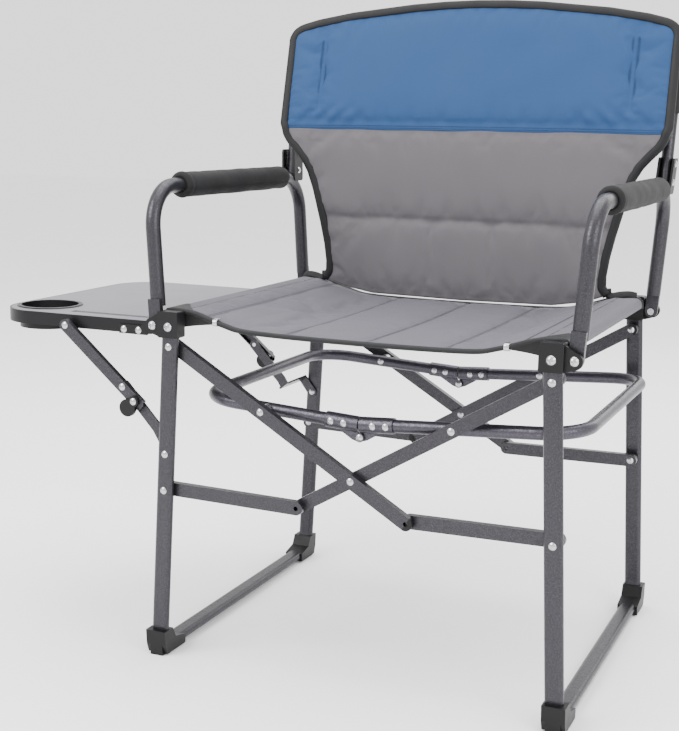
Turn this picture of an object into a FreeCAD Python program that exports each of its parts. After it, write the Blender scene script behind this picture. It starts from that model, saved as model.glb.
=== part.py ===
import FreeCAD, Part
import math
import os

import Sketcher
from FreeCAD import Placement, Rotation, Vector

# Folding camp chair with a drop-down side table, in millimetres.
# +X is the sitter's left seen from the front (the viewer's right), +Y points to the back, +Z is up.
# The origin is on the floor, midway between the two side frames.
# Left and right are the viewer's, facing the chair. The side table is on the left.

SIZES = {
    # side frames: flat-oval tube bent into a U, leaning inwards towards the seat
    "foot_x": 279.0,
    "lean_deg": 2.8,
    "leg_y": 236.0,
    "leg_wide": 24.0,
    "leg_thick": 12.0,
    "tube_wall": 1.3,
    "runner_z": 10.5,
    "leg_bend": 32.0,
    "leg_top_z": 476.0,
    # moulded foot caps
    "foot_front": 12.0,
    "foot_long": 56.0,
    "foot_collar_z": 36.0,
    "foot_wide": 30.0,
    "toe_wide": 19.0,
    "toe_long": 21.0,
    "toe_z": 15.0,
    "sole_z": 2.2,
    # seat brackets around the leg tops, with an ear outside for the arm and table bolt
    "bracket_bottom_z": 445.0,
    "bracket_top_z": 480.0,
    "bracket_out_x": 271.5,
    "bracket_in_x": 241.5,
    "bracket_front_y": 246.0,
    "bracket_back_y": 226.0,
    "ear_x": 282.5,
    "ear_z": 459.5,
    "ear_round": 10.5,
    "ear_back_y": 236.0,
    "ear_front_y": 242.0,
    "rail_x": 262.0,
    "rail_z": 470.0,
    "rail_round": 8.0,
    # fasteners
    "rivet_round": 3.0,
    "hole_round": 3.05,
    "head_round": 4.8,
    "head_high": 1.9,
    "tail_high": 1.4,
    "screw_round": 3.4,
    "screw_hole": 3.45,
    "screw_head": 6.0,
    "screw_head_high": 3.2,
    # crossed bars and links: layer one is next to the legs, layer two behind it
    "bar_high": 18.0,
    "bar_round": 9.0,
    "bar_wall": 1.3,
    "layer_one_out": 229.6,
    "layer_one_in": 219.6,
    "layer_two_out": 219.2,
    "layer_two_in": 209.2,
    "upper_pivot_z": 432.4,
    "lower_pivot_z": 235.4,
    "cross_deg": 30.9,
    "bar_long": 389.0,
    "bar_tail": 9.0,
    "loop_pivot_along": 150.5,
    "plug_deep": 12.0,
    "spacer_round": 7.5,
    # under-seat loop in two halves with a locking hinge at the middle
    "loop_round": 8.5,
    "loop_wall": 1.5,
    "loop_y": 198.0,
    "loop_bend": 55.0,
    "loop_left_reach": 235.0,
    "loop_right_reach": 287.0,
    "loop_mid_z": 346.5,
    "loop_tilt_deg": 3.43,
    "loop_gap": 1.0,
    "loop_stop": 208.8,
    "sleeve_long": 46.0,
    "sleeve_round": 10.5,
    "sleeve_head": 4.5,
    "knuckle_z": 329.5,
    "knuckle_round": 6.0,
    "knuckle_thick": 3.0,
    # arm hoops and back posts
    "arm_round": 10.0,
    "arm_wall": 1.3,
    "arm_front_y": 222.0,
    "arm_rear_y": 228.0,
    "arm_start": 24.0,
    "arm_high": 180.5,
    "arm_bend": 55.0,
    "arm_lean_deg": 3.7,
    "lug_round": 9.0,
    "lug_top": 34.0,
    "lug_out_y": 233.4,
    "lug_in_y": 225.4,
    "grip_round": 18.5,
    "grip_front_y": 147.0,
    "grip_long": 312.0,
    "post_round": 8.5,
    "post_wall": 1.2,
    "post_foot_y": 207.0,
    "post_foot_up": 180.0,
    "post_top_y": 236.0,
    "post_top_up": 404.0,
    "post_in": 9.0,
    "clamp_thick": 3.0,
    "clamp_low": 173.5,
    "clamp_high": 224.0,
    "clamp_wide": 34.0,
    "clamp_bolt_low": 190.0,
    "clamp_bolt_high": 216.0,
    # fabrics
    "seat_front_y": 225.0,
    "seat_back_y": 204.0,
    "back_front_y": 182.0,
    "back_thick": 8.0,
    "back_seam_z": 718.0,
    "back_recline_deg": 13.8,
    # side table
    "table_in_x": 293.0,
    "table_out_x": 555.0,
    "table_front_y": 225.0,
    "table_rear_y": 150.0,
    "table_top_z": 462.0,
    "table_skirt": 18.0,
    "table_corner": 60.0,
    "table_in_corner": 12.0,
    "panel_thick": 6.0,
    "rim_wall": 2.5,
    "skirt_wall": 3.0,
    "skirt_hollow": 10.6,
    "cup_x": 503.0,
    "cup_y": 160.0,
    "cup_round": 43.0,
    "cup_lip_round": 46.5,
    "cup_wall": 2.5,
    "cup_bottom_z": 433.0,
    "cup_ledge": 5.0,
    "slot_in_x": 312.0,
    "slot_out_x": 440.0,
    "slot_front_y": 201.5,
    "slot_rear_y": 188.5,
    # hinge plates of the table
    "plate_thick": 2.2,
    "eye_round": 8.0,
    "eye_out_y": 235.7,
    "eye_in_y": 233.7,
    "plate_left_x": 343.0,
    "plate_low_z": 443.0,
    "plate_high_z": 455.6,
    "hinge_web_x": 302.0,
    "hinge_web_end_x": 295.0,
    "hinge_web_low_z": 452.0,
    "hinge_arm_low_z": 450.0,
    "hinge_arm_high_z": 458.0,
    # folding braces of the table
    "brace_top_x": 424.2,
    "brace_top_z": 448.5,
    "brace_knee_x": 333.5,
    "brace_knee_z": 371.0,
    "brace_foot_z": 286.0,
    "brace_high": 16.0,
    "brace_tail": 40.0,
    "brace_wall": 1.5,
    "channel_front_out": 237.5,
    "channel_front_in": 229.7,
    "channel_rear_out": 161.6,
    "channel_rear_in": 153.8,
    "strut_front_out": 229.3,
    "strut_front_in": 226.3,
    "strut_rear_out": 153.4,
    "strut_rear_in": 150.4,
    "strut_half": 7.5,
    "strut_bend_along": 72.0,
    "jog_along": 26.0,
    "jog_thick": 3.0,
    "catch_round": 12.0,
    "catch_thick": 5.0,
    "catch_pin_along": 146.0,
}

LEFT, RIGHT = -1, 1
FRONT, REAR = -1, 1
SIDES = {"left": LEFT, "right": RIGHT}
ENDS = {"front": FRONT, "rear": REAR}

ALONG_Y = Rotation(Vector(1, 0, 0), -90)
UPRIGHT = Rotation()
# sketch x and y become the chair's X and Z, and the pad grows towards the front
FACING_FRONT = Rotation(Vector(1, 0, 0), 90)
# sketch x and y become the chair's Y and Z, and the pad grows towards +X
FACING_SIDE = Rotation(Vector(1, 1, 1), 120)


def sine(alias):
    return math.sin(math.radians(SIZES[alias]))


def cosine(alias):
    return math.cos(math.radians(SIZES[alias]))


def tangent(alias):
    return math.tan(math.radians(SIZES[alias]))


def leg_line_x(height):
    """Half distance between the two leg lines at a height."""
    return SIZES["foot_x"] - height * tangent("lean_deg")


def derive():
    """Sizes worked out from the driving ones, kept in the same sheet."""
    size = SIZES
    more = {}
    more["leg_start_z"] = size["leg_top_z"] / cosine("lean_deg")
    more["leg_half"] = (size["leg_wide"] - size["leg_thick"]) / 2
    more["leg_round"] = size["leg_thick"] / 2
    more["bore_round"] = more["leg_round"] - size["tube_wall"]
    more["upper_pivot_x"] = leg_line_x(size["upper_pivot_z"])
    more["lower_pivot_x"] = leg_line_x(size["lower_pivot_z"])
    more["brace_foot_x"] = leg_line_x(size["brace_foot_z"])
    more["screw_x"] = leg_line_x(size["ear_z"])
    more["half_cross"] = more["upper_pivot_x"] / cosine("cross_deg")
    more["cross_z"] = size["upper_pivot_z"] - more["upper_pivot_x"] * tangent("cross_deg")
    more["bar_end_x"] = size["bar_long"] * cosine("cross_deg") - more["upper_pivot_x"]
    more["bar_end_z"] = size["upper_pivot_z"] - size["bar_long"] * sine("cross_deg")
    more["loop_pivot_x"] = more["upper_pivot_x"] - size["loop_pivot_along"] * cosine("cross_deg")
    more["loop_pivot_z"] = size["upper_pivot_z"] - size["loop_pivot_along"] * sine("cross_deg")
    more["link_long"] = math.hypot(
        more["lower_pivot_x"] - more["bar_end_x"], size["lower_pivot_z"] - more["bar_end_z"]
    )
    more["loop_bore"] = size["loop_round"] - size["loop_wall"]
    more["loop_face"] = size["loop_y"] + size["loop_round"]
    more["lip_hole_round"] = size["cup_lip_round"] + 0.2
    more["loop_pin_in"] = size["loop_y"] - size["loop_round"]
    more["arm_bore"] = size["arm_round"] - size["arm_wall"]
    more["post_bore"] = size["post_round"] - size["post_wall"]
    more["cup_boss_round"] = size["cup_round"] + 3.0
    more["brace_long"] = math.hypot(
        size["brace_top_x"] - size["brace_knee_x"], size["brace_top_z"] - size["brace_knee_z"]
    )
    more["strut_long"] = math.hypot(
        size["brace_knee_x"] - more["brace_foot_x"], size["brace_knee_z"] - size["brace_foot_z"]
    )
    return more


SIZES.update(derive())

doc = FreeCAD.newDocument("FoldingCampChair")
sheet = doc.addObject("Spreadsheet::Sheet", "Sizes")
for row, (alias, number) in enumerate(SIZES.items(), start=1):
    sheet.set(f"A{row}", alias)
    sheet.set(f"B{row}", f"{number:.6g}")
    sheet.setAlias(f"B{row}", alias)
doc.recompute()

nodes = []


# ---------------------------------------------------------------- sizes and places


def number(ref):
    """Value of an alias, of a minus sign and an alias, or of a plain number."""
    if not isinstance(ref, str):
        return float(ref)
    return -SIZES[ref[1:]] if ref.startswith("-") else SIZES[ref]


def bound(ref):
    """Expression for the same reference. An expression, which has spaces, stays as it is."""
    if not isinstance(ref, str):
        return f"{ref:.6g}"
    if " " in ref:
        return ref
    return f"-Sizes.{ref[1:]}" if ref.startswith("-") else f"Sizes.{ref}"


def signed(sign, alias):
    return alias if sign > 0 else f"-{alias}"


def layer_back(end, inner, outer):
    """Rear face of a plate that lies between two distances from the chair's middle."""
    return f"-{inner}" if end == FRONT else outer


def place(piece, x=0, y=0, z=0, turn=UPRIGHT):
    """Puts a piece at a point whose coordinates stay bound to the sheet."""
    piece.Placement = Placement(Vector(number(x), number(y), number(z)), turn)
    for axis, ref in (("x", x), ("y", y), ("z", z)):
        if isinstance(ref, str):
            piece.setExpression(f".Placement.Base.{axis}", bound(ref))
    return piece


def keep(piece, label):
    """Marks a finished piece as a node of the assembly."""
    piece.Label = label
    nodes.append(piece)
    return piece


# ---------------------------------------------------------------- primitives and booleans


def rod(name, radius, length, x, y, z, turn=ALONG_Y):
    piece = doc.addObject("Part::Cylinder", name)
    piece.setExpression("Radius", bound(radius))
    piece.setExpression("Height", bound(length))
    return place(piece, x, y, z, turn)


def span_rod(name, radius, x, z, y_low, y_high):
    """Round bar along Y between two faces."""
    return rod(name, radius, f"{bound(y_high)} - ({bound(y_low)})", x, y_low, z)


def fuse(name, pieces):
    piece = doc.addObject("Part::MultiFuse", name)
    piece.Shapes = pieces
    return piece


def cut(name, base, tool):
    piece = doc.addObject("Part::Cut", name)
    piece.Base = base
    piece.Tool = tool
    return piece


def group(label, pieces):
    """Several separate solids in one node."""
    piece = doc.addObject("Part::Compound", label)
    piece.Links = pieces
    return keep(piece, label)


def drill(name, base, spots, radius="hole_round", reach=400.0):
    """Holes along Y through a piece, at (x, z) spots."""
    tools = []
    for index, (x, z) in enumerate(spots):
        tool = doc.addObject("Part::Cylinder", f"{name}_drill_{index}")
        tool.setExpression("Radius", bound(radius))
        tool.Height = 2 * reach
        tools.append(place(tool, x, -reach, z, ALONG_Y))
    return cut(name, base, fuse(f"{name}_drills", tools) if len(tools) > 1 else tools[0])


# ---------------------------------------------------------------- sketches and bodies


def new_body(name):
    return doc.addObject("PartDesign::Body", name)


def new_sketch(body, name, plane="XY_Plane"):
    sketch = body.newObject("Sketcher::SketchObject", name)
    origin = next(item for item in body.Origin.OriginFeatures if item.Role == plane)
    sketch.AttachmentSupport = (origin, [""])
    sketch.MapMode = "FlatFace"
    return sketch


def pin(sketch, geometry, corner, across, up):
    """Fixes a point of the sketch at two bound distances from its origin."""
    for kind, ref, axis in (("DistanceX", across, -2), ("DistanceY", up, -1)):
        if number(ref) == 0:
            sketch.addConstraint(Sketcher.Constraint("PointOnObject", geometry, corner, axis))
            continue
        index = sketch.addConstraint(
            Sketcher.Constraint(kind, -1, 1, geometry, corner, number(ref))
        )
        if isinstance(ref, str):
            sketch.setExpression(f"Constraints[{index}]", bound(ref))


def outline(sketch, points):
    """Closed outline of straight runs."""
    first = sketch.GeometryCount
    count = len(points)
    corners = [Vector(number(across), number(up), 0) for across, up in points]
    for index in range(count):
        sketch.addGeometry(Part.LineSegment(corners[index], corners[(index + 1) % count]), False)
    for index in range(count):
        following = first + (index + 1) % count
        sketch.addConstraint(Sketcher.Constraint("Coincident", first + index, 2, following, 1))
    for index, (across, up) in enumerate(points):
        pin(sketch, first + index, 1, across, up)


def circle(sketch, across, up, radius):
    centre = Vector(number(across), number(up), 0)
    ring = sketch.addGeometry(Part.Circle(centre, Vector(0, 0, 1), number(radius)), False)
    index = sketch.addConstraint(Sketcher.Constraint("Radius", ring, number(radius)))
    sketch.setExpression(f"Constraints[{index}]", bound(radius))
    if number(across) == 0 and number(up) == 0:
        sketch.addConstraint(Sketcher.Constraint("Coincident", ring, 3, -1, 1))
        return
    pin(sketch, ring, 3, across, up)


def stadium(sketch, half, radius):
    """Flat oval about the sketch's origin, long way up, with round ends."""
    reach, round_end = number(half), number(radius)
    up = Part.Circle(Vector(0, reach, 0), Vector(0, 0, 1), round_end)
    down = Part.Circle(Vector(0, -reach, 0), Vector(0, 0, 1), round_end)
    top = sketch.addGeometry(Part.ArcOfCircle(up, 0, math.pi), False)
    bottom = sketch.addGeometry(Part.ArcOfCircle(down, math.pi, 2 * math.pi), False)
    left = sketch.addGeometry(
        Part.LineSegment(Vector(-round_end, reach, 0), Vector(-round_end, -reach, 0)), False
    )
    right = sketch.addGeometry(
        Part.LineSegment(Vector(round_end, -reach, 0), Vector(round_end, reach, 0)), False
    )
    for first, first_end, second, second_end in (
        (top, 2, left, 1),
        (left, 2, bottom, 1),
        (bottom, 2, right, 1),
        (right, 2, top, 1),
    ):
        sketch.addConstraint(
            Sketcher.Constraint("Tangent", first, first_end, second, second_end)
        )
    index = sketch.addConstraint(Sketcher.Constraint("Radius", top, round_end))
    sketch.setExpression(f"Constraints[{index}]", bound(radius))
    sketch.addConstraint(Sketcher.Constraint("Vertical", left))
    pin(sketch, top, 3, 0, half)
    pin(sketch, bottom, 3, 0, f"-{half}")


def pad(body, sketch, length):
    feature = body.newObject("PartDesign::Pad", f"{body.Name}_pad")
    feature.Profile = sketch
    feature.setExpression("Length", bound(length))
    sketch.Visibility = False
    return feature


def round_edges(body, feature, radius, along=None):
    """Rounds the edges of a feature that run along one axis, or all its edges."""
    doc.recompute()
    names = []
    for index, edge in enumerate(feature.Shape.Edges, start=1):
        heading = edge.tangentAt(edge.FirstParameter)
        if along is None or abs(abs(heading.dot(along)) - 1) < 1e-6:
            names.append(f"Edge{index}")
    rounding = body.newObject("PartDesign::Fillet", f"{body.Name}_round")
    rounding.Base = (feature, names)
    rounding.Radius = radius
    return rounding


def plate(name, points, thick, holes=(), rounding=0.0):
    """Flat plate in its own frame: outline in x and y, thickness along z."""
    body = new_body(name)
    sketch = new_sketch(body, f"{name}_outline")
    outline(sketch, points)
    for across, up, radius in holes:
        circle(sketch, across, up, radius)
    feature = pad(body, sketch, thick)
    if rounding:
        round_edges(body, feature, rounding, Vector(0, 0, 1))
    return body


def route(sketch, points, radius):
    """Open path of straight runs joined by tangent arcs of one radius."""
    spots = [Vector(number(across), number(up), 0) for across, up in points]
    starts, ends, arcs = [spots[0]], [], []
    for before, corner, after in zip(spots, spots[1:], spots[2:]):
        back = (before - corner).normalize()
        ahead = (after - corner).normalize()
        half = back.getAngle(ahead) / 2
        setback = number(radius) / math.tan(half)
        middle = corner + (back + ahead).normalize() * (number(radius) / math.sin(half))
        ends.append(corner + back * setback)
        starts.append(corner + ahead * setback)
        turns_left = back.cross(ahead).z < 0
        first, last = (ends[-1], starts[-1]) if turns_left else (starts[-1], ends[-1])
        angles = [math.atan2(spot.y - middle.y, spot.x - middle.x) for spot in (first, last)]
        if angles[1] < angles[0]:
            angles[1] += 2 * math.pi
        ring = Part.Circle(middle, Vector(0, 0, 1), number(radius))
        arcs.append((Part.ArcOfCircle(ring, *angles), turns_left))
    ends.append(spots[-1])
    runs = [
        sketch.addGeometry(Part.LineSegment(start, end), False)
        for start, end in zip(starts, ends)
    ]
    for index, (arc, turns_left) in enumerate(arcs):
        bend = sketch.addGeometry(arc, False)
        enter, leave = (1, 2) if turns_left else (2, 1)
        sketch.addConstraint(Sketcher.Constraint("Tangent", runs[index], 2, bend, enter))
        sketch.addConstraint(Sketcher.Constraint("Tangent", bend, leave, runs[index + 1], 1))
        limit = sketch.addConstraint(Sketcher.Constraint("Radius", bend, number(radius)))
        sketch.setExpression(f"Constraints[{limit}]", bound(radius))
        corner = sketch.addGeometry(Part.Point(spots[index + 1]), True)
        for run in (runs[index], runs[index + 1]):
            sketch.addConstraint(Sketcher.Constraint("PointOnObject", corner, 1, run))
        pin(sketch, corner, 1, *points[index + 1])
    pin(sketch, runs[0], 1, *points[0])
    pin(sketch, runs[-1], 2, *points[-1])


def pipe(name, points, bend, section, plane, offset):
    """Tube in its own frame along a route in its XY plane.

    section draws the profile. plane and offset put the profile at the route's first point.
    """
    body = new_body(name)
    path = new_sketch(body, f"{name}_path")
    route(path, points, bend)
    profile = new_sketch(body, f"{name}_section", plane)
    section(profile)
    profile.AttachmentOffset = Placement(Vector(*[number(ref) for ref in offset]), UPRIGHT)
    for axis, ref in zip("xyz", offset):
        if isinstance(ref, str):
            profile.setExpression(f".AttachmentOffset.Base.{axis}", bound(ref))
    feature = body.newObject("PartDesign::AdditivePipe", f"{name}_pipe")
    feature.Profile = profile
    feature.Spine = path
    path.Visibility = False
    profile.Visibility = False
    return body


# ---------------------------------------------------------------- fasteners


def dome(name, radius, high, x, face, z, outward):
    """Low spherical cap standing on a face that looks along -Y or +Y."""
    rim, rise = SIZES[radius], SIZES[high]
    ball = (rim**2 + rise**2) / (2 * rise)
    cap = doc.addObject("Part::Sphere", name)
    cap.setExpression(
        "Radius", f"({bound(radius)}^2 + {bound(high)}^2) / (2 * {bound(high)})"
    )
    cap.Angle1 = math.degrees(math.asin((ball - rise) / ball))
    turn = ALONG_Y if outward == REAR else FACING_FRONT
    cap.Placement = Placement(
        Vector(number(x), number(face) - outward * (ball - rise), number(z)), turn
    )
    return cap


def rivet(name, x, z, y_front, y_back, shank="rivet_round"):
    """Rivet along Y with a wide low head on each outer face."""
    return fuse(
        name,
        [
            span_rod(f"{name}_shank", shank, x, z, y_front, y_back),
            dome(f"{name}_head", "head_round", "head_high", x, y_front, z, FRONT),
            dome(f"{name}_tail", "head_round", "tail_high", x, y_back, z, REAR),
        ],
    )


def end_rivet(name, end, x, z, inner, outer):
    """Rivet with its low tail towards the chair's middle."""
    if end == FRONT:
        return rivet(name, x, z, f"-{outer}", f"-{inner}")
    return rivet(name, x, z, inner, outer)


def screw(name, side, end, x, z, inner, outer):
    """Cross-recessed machine screw with a pan head on the outer face."""
    face = signed(end, outer)
    low, high = (face, signed(end, inner)) if end == FRONT else (inner, outer)
    shank = span_rod(f"{name}_shank", "screw_round", x, z, low, high)
    head = dome(f"{name}_head", "screw_head", "screw_head_high", x, face, z, end)
    slots = []
    for index, (wide, tall) in enumerate(((6.4, 1.4), (1.4, 6.4))):
        slot = doc.addObject("Part::Box", f"{name}_slot_{index}")
        slot.Length, slot.Width, slot.Height = wide, 2.4, tall
        depth = SIZES[outer] + SIZES["screw_head_high"]
        near = depth - 2.0 if end == REAR else -depth - 0.4
        slot.Placement.Base = Vector(number(x) - wide / 2, near, number(z) - tall / 2)
        slots.append(slot)
    whole = fuse(f"{name}_whole", [shank, head])
    return cut(name, whole, fuse(f"{name}_recess", slots))


# ---------------------------------------------------------------- side frames


def make_leg(side_name, side):
    """U-shaped flat-oval tube: front leg, floor runner and rear leg in one bend."""

    def section(profile, radius="leg_round"):
        stadium(profile, "leg_half", radius)

    def bore(profile):
        section(profile, "bore_round")

    points = [
        ("-leg_y", "leg_start_z"),
        ("-leg_y", "runner_z"),
        ("leg_y", "runner_z"),
        ("leg_y", "leg_start_z"),
    ]
    start = ("-leg_y", 0, "-leg_start_z")
    tilt = Rotation(Vector(0, 1, 0), -side * SIZES["lean_deg"]) * FACING_SIDE
    bodies = []
    for part_name, draw in (("envelope", section), ("bore", bore)):
        body = pipe(f"leg_{part_name}_{side_name}", points, "leg_bend", draw, "XZ_Plane", start)
        bodies.append(place(body, signed(side, "foot_x"), 0, 0, tilt))
    envelope, hollow = bodies
    tube = cut(f"leg_tube_{side_name}", envelope, hollow)
    spots = [
        (signed(side, "upper_pivot_x"), "upper_pivot_z"),
        (signed(side, "lower_pivot_x"), "lower_pivot_z"),
    ]
    if side == LEFT:
        spots.append(("-brace_foot_x", "brace_foot_z"))
    drilled = drill(f"leg_drilled_{side_name}", tube, spots)
    name = f"leg_frame_{side_name}"
    screwed = drill(name, drilled, [(signed(side, "screw_x"), "ear_z")], "screw_hole")
    keep(screwed, name)
    return envelope


def make_feet(side_name, side, envelope):
    """Two moulded caps that wrap the bottom bends, each with a narrow toe on the floor."""
    feet = []
    for end_name, end in ENDS.items():
        name = f"foot_{side_name}_{end_name}"
        outer = SIZES["leg_y"] + SIZES["foot_front"]
        inner = outer - SIZES["foot_long"]
        collar = outer - 22.0
        saddle = plate(
            f"{name}_saddle",
            [
                (end * outer, "foot_collar_z"),
                (end * (outer - 2.0), "toe_z"),
                (end * (outer - 7.0), "sole_z"),
                (end * inner, "sole_z"),
                (end * inner, "toe_z"),
                (end * (collar - 8.0), 21.0),
                (end * collar, "foot_collar_z"),
            ],
            "foot_wide",
        )
        x_low = f"{side * SIZES['foot_x'] - SIZES['foot_wide'] / 2:.3f}"
        place(saddle, float(x_low), 0, 0, FACING_SIDE)
        toe = plate(
            f"{name}_toe",
            [
                (end * (outer - 2.0), "toe_z"),
                (end * (outer - 3.0), 0),
                (end * (outer - 3.0 - SIZES["toe_long"]), 0),
                (end * (outer - 3.0 - SIZES["toe_long"]), "toe_z"),
            ],
            "toe_wide",
        )
        place(toe, side * SIZES["foot_x"] - SIZES["toe_wide"] / 2, 0, 0, FACING_SIDE)
        feet.append(cut(name, fuse(f"{name}_whole", [saddle, toe]), envelope))
    group(f"foot_caps_{side_name}", feet)


def make_bracket(side_name, side, end_name, end, envelope):
    """Moulded seat bracket: a block around the leg top with a rounded ear outside."""
    name = f"bracket_{side_name}_{end_name}"
    block = plate(
        f"{name}_block",
        [
            (signed(side, "bracket_out_x"), "bracket_bottom_z"),
            (signed(side, "bracket_in_x"), "bracket_bottom_z"),
            (signed(side, "bracket_in_x"), "bracket_top_z"),
            (signed(side, "bracket_out_x"), "bracket_top_z"),
        ],
        f"{bound('bracket_front_y')} - {bound('bracket_back_y')}",
        rounding=2.5,
    )
    place(block, 0, layer_back(end, "bracket_back_y", "bracket_front_y"), 0, FACING_FRONT)
    ear_thick = f"{bound('ear_front_y')} - {bound('ear_back_y')}"
    edge = SIZES["bracket_out_x"] - 1.0
    web = plate(
        f"{name}_web",
        [
            (side * edge, "bracket_bottom_z"),
            (side * (SIZES["ear_x"] + 4.0), SIZES["ear_z"] - SIZES["ear_round"] + 1.0),
            (side * (SIZES["ear_x"] + 4.0), SIZES["ear_z"] + SIZES["ear_round"] - 1.0),
            (side * edge, SIZES["bracket_top_z"] - 2.0),
        ],
        ear_thick,
    )
    place(web, 0, layer_back(end, "ear_back_y", "ear_front_y"), 0, FACING_FRONT)
    low, high = ("-ear_front_y", "-ear_back_y") if end == FRONT else ("ear_back_y", "ear_front_y")
    eye = span_rod(f"{name}_eye", "ear_round", signed(side, "ear_x"), "ear_z", low, high)
    whole = fuse(f"{name}_whole", [block, web, eye])
    fitted = cut(f"{name}_fitted", whole, envelope)
    spots = [(signed(side, "ear_x"), "ear_z"), (signed(side, "screw_x"), "ear_z")]
    keep(drill(name, fitted, spots, "screw_hole"), name)


def make_bracket_bolts(side_name, side):
    """Screw through each leg top, and the bolt that carries the arm through each ear."""
    pieces = []
    for end_name, end in ENDS.items():
        stem = f"bolt_{side_name}_{end_name}"
        screw_x = signed(side, "screw_x")
        pieces.append(
            screw(f"{stem}_leg", side, end, screw_x, "ear_z", "bracket_back_y", "bracket_front_y")
        )
        ear_x = signed(side, "ear_x")
        bolt = screw(f"{stem}_ear", side, end, ear_x, "ear_z", "seat_front_y", "ear_front_y")
        nut_turn = ALONG_Y if end == FRONT else FACING_FRONT
        nut = rod(f"{stem}_nut", "head_round", "screw_head_high", ear_x,
                  signed(end, "seat_front_y"), "ear_z", nut_turn)
        pieces.append(fuse(f"{stem}_pair", [bolt, nut]))
    group(f"bracket_bolts_{side_name}", pieces)


def make_side(side_name, side):
    envelope = make_leg(side_name, side)
    make_feet(side_name, side, envelope)
    for end_name, end in ENDS.items():
        make_bracket(side_name, side, end_name, end, envelope)
    make_bracket_bolts(side_name, side)
    rail = span_rod(f"seat_rail_{side_name}", "rail_round", signed(side, "rail_x"), "rail_z",
                    "-bracket_back_y", "bracket_back_y")
    keep(rail, f"seat_rail_{side_name}")
    rivets = []
    spacers = []
    for end_name, end in ENDS.items():
        inner = "layer_one_in" if side == LEFT else "layer_two_in"
        for level in ("upper", "lower"):
            x, z = signed(side, f"{level}_pivot_x"), f"{level}_pivot_z"
            stem = f"pivot_{side_name}_{end_name}_{level}"
            rivets.append(end_rivet(stem, end, x, z, inner, "ear_front_y"))
            if side == RIGHT:
                low, high = ("layer_two_out", "layer_one_out")
                span = (f"-{high}", f"-{low}") if end == FRONT else (low, high)
                ring = span_rod(f"{stem}_ring", "spacer_round", x, z, *span)
                spacers.append(drill(f"{stem}_spacer", ring, [(x, z)]))
    if side == LEFT:
        rivets.append(
            end_rivet("pivot_brace_front", FRONT, "-brace_foot_x", "brace_foot_z",
                      "strut_front_in", "ear_front_y")
        )
        rivets.append(
            end_rivet("pivot_brace_rear", REAR, "-brace_foot_x", "brace_foot_z",
                      "strut_front_in", "ear_front_y")
        )
    group(f"pivot_rivets_{side_name}", rivets)
    if spacers:
        group(f"pivot_spacers_{side_name}", spacers)


# ---------------------------------------------------------------- crossed bars and links


def scissor_bars(name, side, inner, outer):
    """A pair of long bars, front and rear, from an upper leg pivot past the crossing."""
    turn = SIZES["cross_deg"] if side == LEFT else 180.0 - SIZES["cross_deg"]
    top_x = signed(side, "upper_pivot_x")
    far_x = signed(-side, "bar_end_x")
    loop_x = signed(side, "loop_pivot_x")
    spots = [(top_x, "upper_pivot_z"), (far_x, "bar_end_z"), (0, "cross_z"),
             (loop_x, "loop_pivot_z")]
    plugs = []
    for end_name, end in ENDS.items():
        bar, noses = slim_bar(f"{name}_{end_name}", "bar_long", turn, top_x, "upper_pivot_z",
                              end, inner, outer, spots)
        keep(bar, f"{name}_{end_name}")
        plugs += noses
    group(f"plugs_{name}", plugs)


def slim_bar(name, length, turn_deg, x, z, end, inner, outer, spots):
    """Rectangular tube between two pivots and the solid half-round nose beyond each pivot."""
    body = new_body(f"{name}_body")
    sketch = new_sketch(body, f"{name}_section", "YZ_Plane")
    half = SIZES["bar_high"] / 2
    depth = SIZES[outer] - SIZES[inner]
    wall = SIZES["bar_wall"]
    outline(sketch, [(-half, 0), (half, 0), (half, depth), (-half, depth)])
    outline(
        sketch,
        [(wall - half, wall), (half - wall, wall), (half - wall, depth - wall),
         (wall - half, depth - wall)],
    )
    pad(body, sketch, length)
    slope = Rotation(Vector(0, 1, 0), turn_deg)
    back = layer_back(end, inner, outer)
    place(body, x, back, z, slope * FACING_FRONT)
    noses = []
    for index, reach in enumerate((0.0, number(length))):
        spot = Vector(number(x), number(back), number(z)) + slope.multVec(Vector(reach, 0, 0))
        nose = doc.addObject("Part::Cylinder", f"{name}_nose_{index}")
        nose.setExpression("Radius", "Sizes.bar_high / 2")
        nose.setExpression("Height", f"{bound(outer)} - {bound(inner)}")
        nose.Angle = 180
        heading = Rotation(Vector(0, 1, 0), turn_deg - 90 + 180 * index)
        nose.Placement = Placement(spot, heading * FACING_FRONT)
        noses.append(drill(f"{name}_plug_{index}", nose, spots))
    return drill(f"{name}_tube", body, spots), noses


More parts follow.
